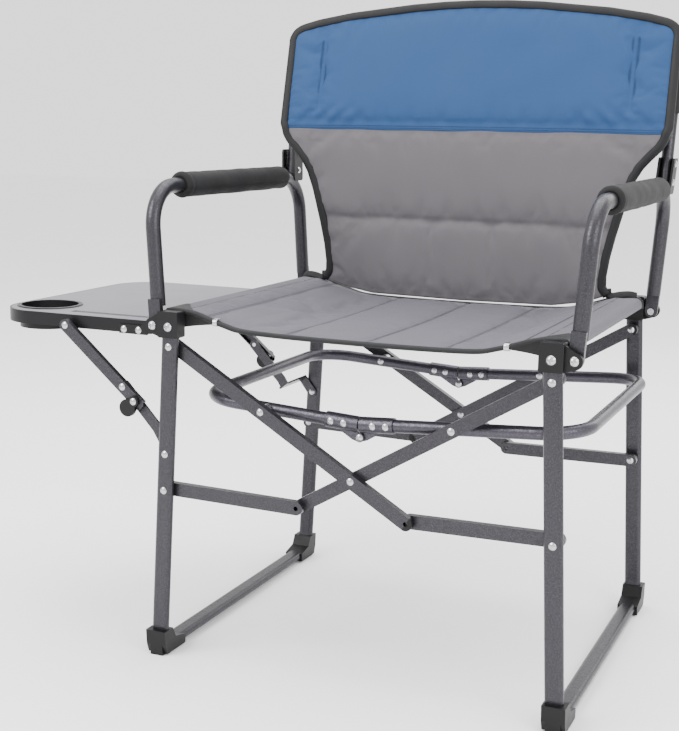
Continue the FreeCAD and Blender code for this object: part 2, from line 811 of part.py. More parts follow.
def make_scissors():
    layers = {
        "bar_a": (LEFT, "layer_one_in", "layer_one_out"),
        "bar_b": (RIGHT, "layer_two_in", "layer_two_out"),
    }
    for name, (side, inner, outer) in layers.items():
        scissor_bars(name, side, inner, outer)
    links = {
        "link_c": (LEFT, "layer_one_in", "layer_one_out"),
        "link_d": (RIGHT, "layer_two_in", "layer_two_out"),
    }
    drop = math.degrees(
        math.asin((SIZES["lower_pivot_z"] - SIZES["bar_end_z"]) / SIZES["link_long"])
    )
    for name, (side, inner, outer) in links.items():
        turn = drop if side == LEFT else 180.0 - drop
        near = (signed(side, "lower_pivot_x"), "lower_pivot_z")
        far = (signed(side, "bar_end_x"), "bar_end_z")
        for end_name, end in ENDS.items():
            bar, noses = slim_bar(f"{name}_{end_name}", "link_long", turn, near[0], near[1],
                                  end, inner, outer, [near, far])
            keep(fuse(f"{name}_{end_name}", [bar] + noses), f"{name}_{end_name}")
    rivets = []
    for end_name, end in ENDS.items():
        rivets.append(end_rivet(f"cross_rivet_{end_name}", end, 0, "cross_z",
                                "layer_two_in", "layer_one_out"))
    group("cross_rivets_a", rivets)
    studs = []
    spot = ("loop_pivot_x", "loop_pivot_z")
    for end_name, end in ENDS.items():
        name = f"loop_bar_stud_{end_name}"
        low, high = ("-layer_two_out", "-layer_two_in") if end == FRONT else (
            "layer_two_in", "layer_two_out")
        stud = span_rod(f"{name}_shank", "rivet_round", *spot, low, high)
        head = dome(f"{name}_head", "head_round", "head_high", spot[0],
                    signed(end, "layer_two_out"), spot[1], end)
        studs.append(fuse(name, [stud, head]))
    group("loop_studs_b", studs)


# ---------------------------------------------------------------- under-seat loop


def loop_turn(side):
    """A loop half lies in a plane that rises outwards from the middle."""
    tilt = Rotation(Vector(0, 1, 0), -side * SIZES["loop_tilt_deg"])
    return tilt * Rotation(Vector(0, 0, 1), 0 if side == RIGHT else 180)


def loop_stud(name, end, x, z):
    """Pin of the right loop half: it stops at the crossed bar that it turns on."""
    low, high = ("-loop_stop", "-loop_pin_in") if end == FRONT else ("loop_pin_in", "loop_stop")
    stud = span_rod(f"{name}_stud", "rivet_round", x, z, low, high)
    tail = dome(f"{name}_tail", "head_round", "tail_high", x, signed(end, "loop_pin_in"), z, -end)
    return fuse(name, [stud, tail])


def make_loop(side_name, side):
    """Half of the under-seat loop: a bent tube with a half sleeve and knuckle at each end."""
    reach = f"loop_{side_name}_reach"
    points = [
        ("loop_gap", "-loop_y"),
        (reach, "-loop_y"),
        (reach, "loop_y"),
        ("loop_gap", "loop_y"),
    ]
    turn = loop_turn(side)
    bodies = []
    for part_name, radius in (("skin", "loop_round"), ("bore", "loop_bore")):

        def ring(profile, radius=radius):
            circle(profile, 0, 0, radius)

        body = pipe(f"loop_{part_name}_{side_name}", points, "loop_bend", ring, "YZ_Plane",
                    ("-loop_y", 0, "loop_gap"))
        bodies.append(place(body, 0, 0, "loop_mid_z", turn))
    skin, bore = bodies
    tube = cut(f"loop_shell_{side_name}", skin, bore)
    pivot = [(signed(side, "loop_pivot_x"), "loop_pivot_z")]
    name = f"loop_tube_{side_name}"
    keep(drill(name, tube, pivot), name)
    sleeves = []
    rivets = []
    for end_name, end in ENDS.items():
        stem = f"sleeve_{side_name}_{end_name}"
        along = turn.multVec(Vector(1, 0, 0))
        start = Vector(0, end * SIZES["loop_y"], SIZES["loop_mid_z"]) + along * SIZES["loop_gap"]
        barrel = doc.addObject("Part::Cylinder", f"{stem}_barrel")
        barrel.setExpression("Radius", "Sizes.sleeve_round")
        barrel.setExpression("Height", "Sizes.sleeve_long")
        barrel.Placement = Placement(start, Rotation(Vector(0, 0, 1), along))
        inner, outer = knuckle_layer(side)
        knuckle = plate(
            f"{stem}_knuckle",
            [
                (side * SIZES["sleeve_long"] * 0.72, SIZES["loop_mid_z"] - 6.0),
                (side * 2.0, SIZES["loop_mid_z"] - 6.0),
                (side * 1.0, SIZES["knuckle_z"] + 1.0),
                (side * 2.0, SIZES["knuckle_z"] - 5.5),
                (side * 10.0, SIZES["knuckle_z"] - 3.0),
            ],
            "knuckle_thick",
        )
        place(knuckle, 0, end * SIZES["loop_y"] + outer, 0, FACING_FRONT)
        eye = doc.addObject("Part::Cylinder", f"{stem}_eye")
        eye.setExpression("Radius", "Sizes.knuckle_round")
        eye.setExpression("Height", "Sizes.knuckle_thick")
        place(eye, 0, end * SIZES["loop_y"] + inner, "knuckle_z", ALONG_Y)
        whole = fuse(f"{stem}_whole", [barrel, knuckle, eye])
        y_mid = end * SIZES["loop_y"]
        domes = []
        for spot in SLEEVE_RIVETS:
            across = Vector(0, y_mid, SIZES["loop_mid_z"]) + along * spot
            face = y_mid - SIZES["sleeve_round"] + 0.35
            domes.append(
                dome(f"{stem}_rivet_{spot:.0f}", "sleeve_head", "tail_high",
                     across.x, face, across.z, FRONT)
            )
        rivets += domes
        seats = cut(f"{stem}_seats", whole, fuse(f"{stem}_domes", [skin] + domes))
        sleeves.append(drill(f"{stem}_drilled", seats, [(0, "knuckle_z")]))
        if side == LEFT:
            low = y_mid - SIZES["knuckle_thick"] - 0.5
            high = y_mid + SIZES["knuckle_thick"] + 0.5
            rivets.append(rivet(f"{stem}_pin", 0, "knuckle_z", low, high))
    group(f"loop_sleeves_{side_name}", sleeves)
    for end_name, end in ENDS.items():
        x, z = pivot[0]
        stem = f"loop_pin_{side_name}_{end_name}"
        if side == LEFT:
            rivets.append(end_rivet(stem, end, x, z, "loop_pin_in", "layer_one_out"))
            outer = "layer_two_out"
        else:
            rivets.append(loop_stud(stem, end, x, z))
            outer = "loop_stop"
        span = (f"-{outer}", "-loop_face") if end == FRONT else ("loop_face", outer)
        ring = span_rod(f"{stem}_ring", "spacer_round", x, z, *span)
        rivets.append(drill(f"{stem}_spacer", ring, pivot))
    group(f"loop_rivets_{side_name}", rivets)


def knuckle_layer(side):
    """The two knuckles at the middle lie side by side along Y."""
    gap = 0.25
    if side == LEFT:
        return -SIZES["knuckle_thick"] - gap, -gap
    return gap, SIZES["knuckle_thick"] + gap


# ---------------------------------------------------------------- arms and back


def arm_turn(side):
    """An arm stands in a plane that leans outwards from its two lower bolts."""
    return Rotation(Vector(0, 1, 0), side * SIZES["arm_lean_deg"])


def arm_spot(side, inward, y, up):
    """A point given in an arm's own leaning frame."""
    base = Vector(side * SIZES["ear_x"], 0, SIZES["ear_z"])
    return base + arm_turn(side).multVec(Vector(-side * inward, y, up))


def make_arm(side_name, side):
    points = [
        ("-arm_front_y", "arm_start"),
        ("-arm_front_y", "arm_high"),
        ("arm_rear_y", "arm_high"),
        ("arm_rear_y", "arm_start"),
    ]
    turn = arm_turn(side) * FACING_SIDE
    tubes = []
    for part_name, radius in (("skin", "arm_round"), ("bore", "arm_bore")):

        def ring(profile, radius=radius):
            circle(profile, 0, 0, radius)

        body = pipe(f"arm_{part_name}_{side_name}", points, "arm_bend", ring, "XZ_Plane",
                    ("-arm_front_y", 0, "-arm_start"))
        tubes.append(place(body, signed(side, "ear_x"), 0, "ear_z", turn))
    skin, bore = tubes
    lugs = []
    for end_name, end in ENDS.items():
        stem = f"arm_lug_{side_name}_{end_name}"
        blade = plate(
            f"{stem}_blade",
            [("-lug_round", 0), ("lug_round", 0), ("lug_round", "lug_top"), ("-lug_round", "lug_top")],
            f"{bound('lug_out_y')} - {bound('lug_in_y')}",
        )
        back = layer_back(end, "lug_in_y", "lug_out_y")
        place(blade, signed(side, "ear_x"), back, "ear_z", arm_turn(side) * FACING_FRONT)
        span = ("-lug_out_y", "-lug_in_y") if end == FRONT else ("lug_in_y", "lug_out_y")
        eye = span_rod(f"{stem}_eye", "lug_round", signed(side, "ear_x"), "ear_z", *span)
        lugs += [blade, eye]
    hoop = fuse(f"arm_whole_{side_name}", [cut(f"arm_shell_{side_name}", skin, bore)] + lugs)
    name = f"arm_hoop_{side_name}"
    keep(drill(name, hoop, [(signed(side, "ear_x"), "ear_z")], "screw_hole"), name)

    grip = rod(f"grip_foam_{side_name}", "grip_round", "grip_long", 0, 0, 0)
    grip.Placement.Base = arm_spot(side, 0, -SIZES["grip_front_y"], SIZES["arm_high"])
    keep(cut(f"grip_{side_name}", grip, skin), f"grip_{side_name}")

    foot = arm_spot(side, 0, SIZES["post_foot_y"], SIZES["post_foot_up"])
    top = arm_spot(side, SIZES["post_in"], SIZES["post_top_y"], SIZES["post_top_up"])
    along = top - foot
    shells = []
    for part_name, radius in (("skin", "post_round"), ("bore", "post_bore")):
        post = doc.addObject("Part::Cylinder", f"post_{part_name}_{side_name}")
        post.setExpression("Radius", bound(radius))
        post.Height = along.Length
        post.Placement = Placement(foot, Rotation(Vector(0, 0, 1), along))
        shells.append(post)
    tube = cut(f"post_tube_{side_name}", *shells)
    seated = cut(f"post_seated_{side_name}", tube, skin)
    bolts = []
    holes = []
    for level in ("low", "high"):
        up = SIZES[f"clamp_bolt_{level}"]
        share = (up - SIZES["post_foot_up"]) / (SIZES["post_top_up"] - SIZES["post_foot_up"])
        y = SIZES["post_foot_y"] + share * (SIZES["post_top_y"] - SIZES["post_foot_y"])
        half = SIZES["post_round"] + SIZES["clamp_thick"]
        outward = arm_spot(side, half, y, up) - arm_spot(side, -half, y, up)
        for kind, radius, extra in (("bolt", "rivet_round", 0.0), ("hole", "hole_round", 2.0)):
            shank = doc.addObject("Part::Cylinder", f"clamp_{kind}_{side_name}_{level}")
            shank.setExpression("Radius", bound(radius))
            shank.Height = 2 * (half + extra)
            start = arm_spot(side, -half - extra, y, up)
            shank.Placement = Placement(start, Rotation(Vector(0, 0, 1), outward))
            (bolts if kind == "bolt" else holes).append(shank)
        for face in (-half, half):
            head = doc.addObject("Part::Cone", f"clamp_head_{side_name}_{level}_{face:.0f}")
            head.setExpression("Radius1", "Sizes.head_round")
            head.setExpression("Radius2", "Sizes.head_round * 0.6")
            head.setExpression("Height", "Sizes.head_high")
            away = outward * (1 if face > 0 else -1)
            head.Placement = Placement(arm_spot(side, face, y, up), Rotation(Vector(0, 0, 1), away))
            bolts[-1] = fuse(f"clamp_bolt_{side_name}_{level}_{face:.0f}", [bolts[-1], head])
    drills = fuse(f"clamp_holes_{side_name}", holes)
    keep(cut(f"back_post_{side_name}", seated, drills), f"back_post_{side_name}")

    cheeks = []
    for index, inward in enumerate((SIZES["post_round"], -SIZES["post_round"] - SIZES["clamp_thick"])):
        cheek = plate(
            f"cheek_{side_name}_{index}",
            [
                (SIZES["post_foot_y"] - 16.0, "clamp_low"),
                (SIZES["post_foot_y"] + 14.0, "clamp_low"),
                (SIZES["post_foot_y"] + 19.0, "clamp_high"),
                (SIZES["post_foot_y"] - 10.0, "clamp_high"),
            ],
            "clamp_thick",
            rounding=5.0,
        )
        low = -side * inward if side == LEFT else -side * inward - SIZES["clamp_thick"]
        base = Vector(side * SIZES["ear_x"], 0, SIZES["ear_z"])
        base += arm_turn(side).multVec(Vector(low, 0, 0))
        cheek.Placement = Placement(base, arm_turn(side) * FACING_SIDE)
        trimmed = cut(f"cheek_trimmed_{side_name}_{index}", cheek,
                      fuse(f"cheek_tubes_{side_name}_{index}", [skin, shells[0]]))
        cheeks.append(cut(f"cheek_drilled_{side_name}_{index}", trimmed, drills))
    group(f"post_clamps_{side_name}", cheeks)
    group(f"clamp_bolts_{side_name}", bolts)


SEAT_TOP = [
    (274.5, 466.0), (274.5, 476.0), (268.5, 481.5), (255.0, 481.5), (228.0, 478.5),
    (187.0, 466.0), (144.0, 459.0), (0.0, 457.0),
]
SEAT_UNDER = [
    (0.0, 453.5), (144.0, 455.5), (187.0, 462.5), (228.0, 475.0), (252.0, 478.4),
    (266.0, 478.4), (270.6, 473.5), (270.6, 466.0),
]
BACK_EDGE = [
    (228.0, 484.5), (219.0, 498.0), (223.0, 540.0), (237.0, 597.0), (253.0, 652.0), (278.0, 684.0),
    (292.0, 698.0),
]
BACK_HEM = [(0.0, 461.5), (144.0, 463.5), (187.0, 470.5)]
BACK_SHOULDER = [(302.0, 718.0), (301.0, 845.0), (297.0, 868.0), (282.0, 879.0), (200.0, 891.0),
                 (100.0, 899.0), (0.0, 902.0)]


def mirrored(points):
    """Adds the same points on the other side, in order round the outline."""
    return points + [(-x, z) for x, z in reversed(points) if x]


def make_fabrics():
    """Seat sling over the side rails, and the back panel in front of its posts."""
    under = [(-x, z) for x, z in SEAT_UNDER if x]
    seat = plate(
        "seat_sling",
        [(-x, z) for x, z in SEAT_TOP if x] + list(reversed(SEAT_TOP)) + list(reversed(SEAT_UNDER)) + under,
        f"{bound('seat_back_y')} + {bound('seat_front_y')}",
    )
    place(seat, 0, "seat_back_y", 0, FACING_FRONT)
    keep(seat, "seat_fabric")
    lower_top = [(300.0, SIZES["back_seam_z"])]
    lower = plate("back_panel_lower", mirrored(BACK_HEM + BACK_EDGE + lower_top), "back_thick")
    place(lower, 0, SIZES["back_front_y"] + SIZES["back_thick"], 0, FACING_FRONT)
    keep(lower, "back_lower")
    recline = Rotation(Vector(1, 0, 0), -SIZES["back_recline_deg"])
    stretch = 1 / cosine("back_recline_deg")
    seam = SIZES["back_seam_z"] + 0.4
    shoulder = [(x, max(z - seam, 0.0) * stretch) for x, z in BACK_SHOULDER]
    upper = plate("back_panel_upper", mirrored(list(reversed(shoulder))), "back_thick")
    place(upper, 0, SIZES["back_front_y"], seam, recline * FACING_FRONT)
    upper.Placement.Base = Vector(0, SIZES["back_front_y"], seam) + recline.multVec(
        Vector(0, SIZES["back_thick"], 0)
    ) + Vector(0, 0, SIZES["back_thick"] * sine("back_recline_deg"))
    keep(upper, "back_upper")


# ---------------------------------------------------------------- side table


def corner_points(inset):
    """Table outline seen from above, from the seat side round, drawn inset."""
    x_in, x_out = SIZES["table_in_x"] + inset, SIZES["table_out_x"] - inset
    front, rear = -SIZES["table_front_y"] + inset, SIZES["table_rear_y"] - inset
    points = []
    for x, y, radius, start in (
        (x_out, front, SIZES["table_corner"], 180),
        (x_in, front, SIZES["table_in_corner"], 270),
        (x_in, rear, SIZES["table_in_corner"], 0),
        (x_out, rear, SIZES["table_corner"], 90),
    ):
        radius = max(radius - inset, 1.0)
        centre_x = -x + (radius if start in (90, 180) else -radius)
        centre_y = y + (radius if start in (180, 270) else -radius)
        points.append((centre_x, centre_y, radius, start))
    return points


def table_outline(sketch, inset):
    """Rounded rectangle of four straight edges and four quarter arcs."""
    corners = corner_points(inset)
    arcs = []
    for x, y, radius, start in corners:
        ring = Part.Circle(Vector(x, y, 0), Vector(0, 0, 1), radius)
        low, high = math.radians(start), math.radians(start + 90)
        arcs.append(sketch.addGeometry(Part.ArcOfCircle(ring, low, high), False))
    for index, arc in enumerate(arcs):
        following = arcs[(index + 1) % 4]
        start = sketch.getPoint(arc, 2)
        end = sketch.getPoint(following, 1)
        run = sketch.addGeometry(Part.LineSegment(start, end), False)
        sketch.addConstraint(Sketcher.Constraint("Tangent", arc, 2, run, 1))
        sketch.addConstraint(Sketcher.Constraint("Tangent", run, 2, following, 1))
        kind = "Vertical" if index % 2 else "Horizontal"
        sketch.addConstraint(Sketcher.Constraint(kind, run))
    for arc, (x, y, radius, start) in zip(arcs, corners):
        sketch.addConstraint(Sketcher.Constraint("Radius", arc, radius))
    for arc, (x, y, radius, start) in zip(arcs[::2], corners[::2]):
        pin(sketch, arc, 3, x, y)


def slab(name, inset, thick, z):
    body = new_body(name)
    sketch = new_sketch(body, f"{name}_outline")
    table_outline(sketch, inset)
    pad(body, sketch, thick)
    return place(body, 0, 0, z)


def make_table():
    cup_hole = rod("cup_hole", "cup_round", 60.0, "-cup_x", "-cup_y", 420.0, UPRIGHT)
    slot = doc.addObject("Part::Box", "phone_slot")
    slot.setExpression("Length", "Sizes.slot_out_x - Sizes.slot_in_x")
    slot.setExpression("Width", "Sizes.slot_front_y - Sizes.slot_rear_y")
    slot.Height = 60.0
    place(slot, "-slot_out_x", "-slot_front_y", 420.0)
    openings = fuse("table_openings", [cup_hole, slot])

    bottom = SIZES["table_top_z"] - SIZES["table_skirt"]
    base = slab("table_block", 0.0, "table_skirt", bottom)
    recess = slab("table_recess", SIZES["rim_wall"], "panel_thick",
                  SIZES["table_top_z"] - SIZES["panel_thick"])
    hollow = slab("table_hollow", SIZES["skirt_wall"], "skirt_hollow", bottom)
    boss = rod("cup_boss", "cup_boss_round", 30.0, "-cup_x", "-cup_y", bottom, UPRIGHT)
    under = cut("table_under", hollow, boss)
    tray = cut("table_shell", base, fuse("table_voids", [recess, under]))
    opened = cut("table_opened", tray, openings)
    drills = []
    for index, (x, z) in enumerate(PLATE_RIVETS):
        drills.append(span_rod(f"table_drill_{index}", "hole_round", -x, z, -230.0, -221.0))
    for end_name, end in ENDS.items():
        inner, outer = (end * y for y in BRACE_TOPS[end_name])
        low_y, high_y = min(inner, outer) - 1.0, max(inner, outer) + 1.0
        drills.append(span_rod(f"table_brace_drill_{end_name}", "hole_round", "-brace_top_x",
                               "brace_top_z", low_y, high_y))
    keep(cut("table_tray", opened, fuse("table_rivet_holes", drills)), "table_tray")
    panel = slab("table_panel", SIZES["rim_wall"], "panel_thick",
                 SIZES["table_top_z"] - SIZES["panel_thick"])
    lip_hole = rod("cup_lip_hole", "lip_hole_round", 60.0, "-cup_x", "-cup_y", 420.0, UPRIGHT)
    keep(cut("table_top", panel, fuse("panel_openings", [openings, lip_hole])), "table_top")

    body = new_body("cup_ring_body")
    sketch = new_sketch(body, "cup_ring_profile", "XZ_Plane")
    low, high = SIZES["cup_bottom_z"], SIZES["table_top_z"]
    wall_in = SIZES["cup_round"] - SIZES["cup_wall"]
    ledge = wall_in - SIZES["cup_ledge"]
    lip = SIZES["cup_lip_round"]
    seat = high - SIZES["panel_thick"]
    outline(
        sketch,
        [
            (ledge, low), ("cup_round", low), ("cup_round", seat), (lip, seat), (lip, high + 0.6),
            (lip - 1.0, high + 1.6), (wall_in, high + 1.6), (wall_in, low + 3.0), (ledge, low + 3.0),
        ],
    )
    spin = body.newObject("PartDesign::Revolution", "cup_ring_spin")
    spin.Profile = sketch
    spin.ReferenceAxis = (sketch, ["V_Axis"])
    spin.Angle = 360
    keep(place(body, "-cup_x", "-cup_y", 0), "cup_ring")
    make_table_hinges()


PLATE_RIVETS = [(336.0, 448.5), (313.0, 448.5)]


def make_table_hinges():
    """Joggled steel plates that carry the table on the two left ear bolts."""
    face = SIZES["table_front_y"]
    thick = SIZES["plate_thick"]
    low, high = SIZES["plate_low_z"], SIZES["plate_high_z"]
    web_x, web_end = SIZES["hinge_web_x"], SIZES["hinge_web_end_x"]
    flat = plate(
        "hinge_front_flat",
        [(-SIZES["plate_left_x"], low), (-web_end - 4.0, low), (-web_end, low + 5.0),
         (-web_end, high), (-SIZES["plate_left_x"], high)],
        "plate_thick",
    )
    place(flat, 0, -face, 0, FACING_FRONT)
    block = plate(
        "hinge_front_web",
        [(-web_x, "hinge_web_low_z"), (-web_end, "hinge_web_low_z"), (-web_end, high + 1.5),
         (-web_x, high + 1.5)],
        SIZES["eye_out_y"] - face - thick / 2,
    )
    place(block, 0, -face - thick / 2, 0, FACING_FRONT)
    eye_high = SIZES["eye_round"] - 0.5
    tongue = plate(
        "hinge_front_tongue",
        [(-web_x, "hinge_web_low_z"), ("-ear_x", SIZES["ear_z"] - eye_high),
         ("-ear_x", SIZES["ear_z"] + eye_high), (-web_x, SIZES["ear_z"] + 1.0)],
        f"{bound('eye_out_y')} - {bound('eye_in_y')}",
    )
    place(tongue, 0, "-eye_in_y", 0, FACING_FRONT)
    eye = span_rod("hinge_front_eye", "eye_round", "-ear_x", "ear_z", "-eye_out_y", "-eye_in_y")
    front = fuse("hinge_front_whole", [flat, block, tongue, eye])
    spots = [("-ear_x", "ear_z")]
    riveted = drill("hinge_front_riveted", front, [(-x, z) for x, z in PLATE_RIVETS])
    keep(drill("table_hinge_front", riveted, spots, "screw_hole"), "table_hinge_front")

    rear_face = SIZES["table_rear_y"]
    arm = plate(
        "hinge_rear_arm",
        [(-web_end - 3.0, "hinge_arm_low_z"), (-web_end, "hinge_arm_low_z"),
         (-web_end, "hinge_arm_high_z"), (-web_end - 3.0, "hinge_arm_high_z")],
        SIZES["eye_out_y"] - rear_face,
    )
    place(arm, 0, "eye_out_y", 0, FACING_FRONT)
    foot = plate(
        "hinge_rear_foot",
        [(-SIZES["plate_left_x"], "hinge_arm_low_z"), (-web_end, "hinge_arm_low_z"),
         (-web_end, "hinge_arm_high_z"), (-SIZES["plate_left_x"], "hinge_arm_high_z")],
        "plate_thick",
    )
    place(foot, 0, rear_face + thick, 0, FACING_FRONT)
    tongue = plate(
        "hinge_rear_tongue",
        [(-web_end - 3.0, "hinge_arm_low_z"), ("-ear_x", SIZES["ear_z"] - eye_high),
         ("-ear_x", SIZES["ear_z"] + eye_high), (-web_end - 3.0, "ear_z")],
        f"{bound('eye_out_y')} - {bound('eye_in_y')}",
    )
    place(tongue, 0, "eye_out_y", 0, FACING_FRONT)
    eye = span_rod("hinge_rear_eye", "eye_round", "-ear_x", "ear_z", "eye_in_y", "eye_out_y")
    rear = fuse("hinge_rear_whole", [arm, foot, tongue, eye])
    keep(drill("table_hinge_rear", rear, spots, "screw_hole"), "table_hinge_rear")

    pieces = []
    for index, (x, z) in enumerate(PLATE_RIVETS):
        pieces.append(rivet(f"table_rivet_{index}", -x, z, -face - thick, -face + 3.0))
    for end_name, end in ENDS.items():
        inner, outer = BRACE_TOPS[end_name]
        low_y, high_y = (-outer, -inner) if end == FRONT else (inner, outer)
        pieces.append(rivet(f"brace_top_rivet_{end_name}", "-brace_top_x", "brace_top_z",
                            low_y, high_y))
    group("table_rivets", pieces)


# ---------------------------------------------------------------- table braces

BRACE_TOPS = {"front": (222.0, 237.5), "rear": (147.0, 161.6)}


def brace_slope():
    return math.degrees(
        math.atan2(
            SIZES["brace_top_z"] - SIZES["brace_knee_z"],
            SIZES["brace_top_x"] - SIZES["brace_knee_x"],
        )
    )


def strut_slope():
    return math.degrees(
        math.atan2(
            SIZES["brace_knee_z"] - SIZES["brace_foot_z"],
            SIZES["brace_knee_x"] - SIZES["brace_foot_x"],
        )
    )


def make_braces():
    knee = ("-brace_knee_x", "brace_knee_z")
    top = ("-brace_top_x", "brace_top_z")
    pins = []
    for end_name, end in ENDS.items():
        outer = SIZES[f"channel_{end_name}_out"]
        inner = SIZES[f"channel_{end_name}_in"]
        name = f"brace_upper_{end_name}"
        half = SIZES["brace_high"] / 2
        tip = SIZES["brace_long"] + SIZES["brace_tail"]
        wall = SIZES["brace_wall"]
        web = plate(
            f"{name}_body",
            [(-half, -3.0), (-half + 4.0, -half), (tip - 4.0, -half), (tip, -3.0), (tip, 3.0),
             (tip - 4.0, half), (-half + 4.0, half), (-half, 3.0)],
            outer - inner,
        )
        turn = Rotation(Vector(0, 1, 0), brace_slope()) * FACING_FRONT
        place(web, top[0], -inner if end == FRONT else outer, top[1], turn)
        hollow = plate(
            f"{name}_hollow",
            [(-half - 2.0, wall - half), (tip + 2.0, wall - half), (tip + 2.0, half - wall),
             (-half - 2.0, half - wall)],
            outer - inner - wall,
        )
        if end == FRONT:
            place(hollow, top[0], -inner, top[1], turn)
        else:
            place(hollow, top[0], outer - wall, top[1], turn)
        channel = cut(f"{name}_channel", web, hollow)
        slope = Rotation(Vector(0, 1, 0), brace_slope())
        pin_spot = slope.multVec(Vector(SIZES["catch_pin_along"], 0, 0))
        pin_at = (number(top[0]) + pin_spot.x, number(top[1]) + pin_spot.z)
        keep(drill(name, channel, [knee, top, pin_at]), name)
        low_y, high_y = (-outer, -inner) if end == FRONT else (inner, outer)
        stud = span_rod(f"knee_pin_{end_name}", "rivet_round", *knee, low_y, high_y)
        face = low_y if end == FRONT else high_y
        head = dome(f"knee_head_{end_name}", "head_round", "head_high", knee[0], face, knee[1], end)
        pins.append(fuse(f"knee_{end_name}", [stud, head]))
        make_catch(end_name, end, pin_at, outer)
        face = -outer - SIZES["catch_thick"] if end == FRONT else outer - wall
        back = -outer + wall if end == FRONT else outer + SIZES["catch_thick"]
        pins.append(rivet(f"catch_pin_{end_name}", *pin_at, face - 0.3 if end == FRONT else face,
                          back if end == FRONT else back + 0.3))
        make_strut(end_name, end, knee)
    group("brace_rivets", pins)
    studs = []
    for end_name, end in ENDS.items():
        outer = SIZES[f"strut_{end_name}_out"]
        inner = SIZES[f"strut_{end_name}_in"]
        low_y, high_y = (-outer, -inner) if end == FRONT else (inner, outer)
        studs.append(span_rod(f"strut_stud_{end_name}", "rivet_round", *knee, low_y, high_y))
    group("strut_studs", studs)


def make_strut(end_name, end, knee):
    """Flat lower brace from the knee to the leg, steeper over its last stretch."""
    outer = SIZES[f"strut_{end_name}_out"]
    inner = SIZES[f"strut_{end_name}_in"]
    name = f"brace_lower_{end_name}"
    foot = ("-brace_foot_x", "brace_foot_z")
    length = SIZES["strut_long"]
    half = SIZES["strut_half"]
    dip = 5.0
    body = plate(
        f"{name}_body",
        [(0, -half), (SIZES["strut_bend_along"], dip - half), (length, -half), (length, half),
         (SIZES["strut_bend_along"], dip + half), (0, half)],
        outer - inner,
    )
    turn = Rotation(Vector(0, 1, 0), strut_slope()) * FACING_FRONT
    place(body, knee[0], -inner if end == FRONT else outer, knee[1], turn)
    low_y, high_y = (-outer, -inner) if end == FRONT else (inner, outer)
    pieces = [body, span_rod(f"{name}_knee", "strut_half", *knee, low_y, high_y)]
    if end == FRONT:
        pieces.append(span_rod(f"{name}_foot", "strut_half", *foot, low_y, high_y))
        keep(drill(name, fuse(f"{name}_whole", pieces), [knee, foot]), name)
        return
    along = length - SIZES["jog_along"]
    trim = doc.addObject("Part::Box", f"{name}_trim")
    trim.Length, trim.Width, trim.Height = 60.0, 20.0, 60.0
    trim.Placement = Placement(
        Vector(number(knee[0]), inner - 5.0, number(knee[1]))
        + Rotation(Vector(0, 1, 0), strut_slope()).multVec(Vector(along, 0, -30.0)),
        Rotation(Vector(0, 1, 0), strut_slope()),
    )
    bar = cut(f"{name}_bar", fuse(f"{name}_flat", pieces), trim)
    far = SIZES["strut_front_out"]
    near = SIZES["strut_front_in"]
    jog = plate(
        f"{name}_jog",
        [(along - SIZES["jog_thick"], -half + 1.0), (along, -half + 1.0), (along, half),
         (along - SIZES["jog_thick"], half)],
        far - inner,
    )
    place(jog, knee[0], far, knee[1], turn)
    lug = plate(
        f"{name}_lug",
        [(along - SIZES["jog_thick"], -half + 1.0), (length, -half), (length, half),
         (along - SIZES["jog_thick"], half)],
        far - near,
    )
    place(lug, knee[0], far, knee[1], turn)
    foot_eye = span_rod(f"{name}_foot", "strut_half", *foot, near, far)
    whole = fuse(f"{name}_whole", [bar, jog, lug, foot_eye])
    keep(drill(name, whole, [knee, foot]), name)


def make_catch(end_name, end, pin_at, outer):
    """Round finger catch on the brace, with a short neck up to its pin."""
    name = f"catch_{end_name}"
    x, z = pin_at
    disc_x, disc_z = x - 9.5, z - 9.5
    low_y, high_y = (-outer - SIZES["catch_thick"], -outer) if end == FRONT else (
        outer, outer + SIZES["catch_thick"])
    disc = span_rod(f"{name}_disc", "catch_round", disc_x, disc_z, low_y, high_y)
    hub = span_rod(f"{name}_hub", "spacer_round", x, z, low_y, high_y)
    keep(drill(name, fuse(f"{name}_whole", [disc, hub]), [pin_at]), name)


# ---------------------------------------------------------------- build, check and write

SLEEVE_RIVETS = (20.0, 38.0)

for side_name, side in SIDES.items():
    make_side(side_name, side)
make_scissors()
for side_name, side in SIDES.items():
    make_loop(side_name, side)
    make_arm(side_name, side)
make_fabrics()
make_table()
make_braces()
doc.recompute()

for piece in doc.Objects:
    if "Invalid" in piece.State or "Error" in piece.State:
        raise RuntimeError(f"{piece.Name} did not build: {piece.State}")
os.makedirs("parts", exist_ok=True)
for piece in nodes:
    if piece.Shape.isNull() or not piece.Shape.isValid():
        raise RuntimeError(f"{piece.Label} has no valid shape")
for piece in nodes:
    piece.Shape.exportStep(f"parts/{piece.Label}.step")
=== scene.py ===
import math

import bmesh
import bpy
import numpy as np
from mathutils import Matrix, Vector, noise


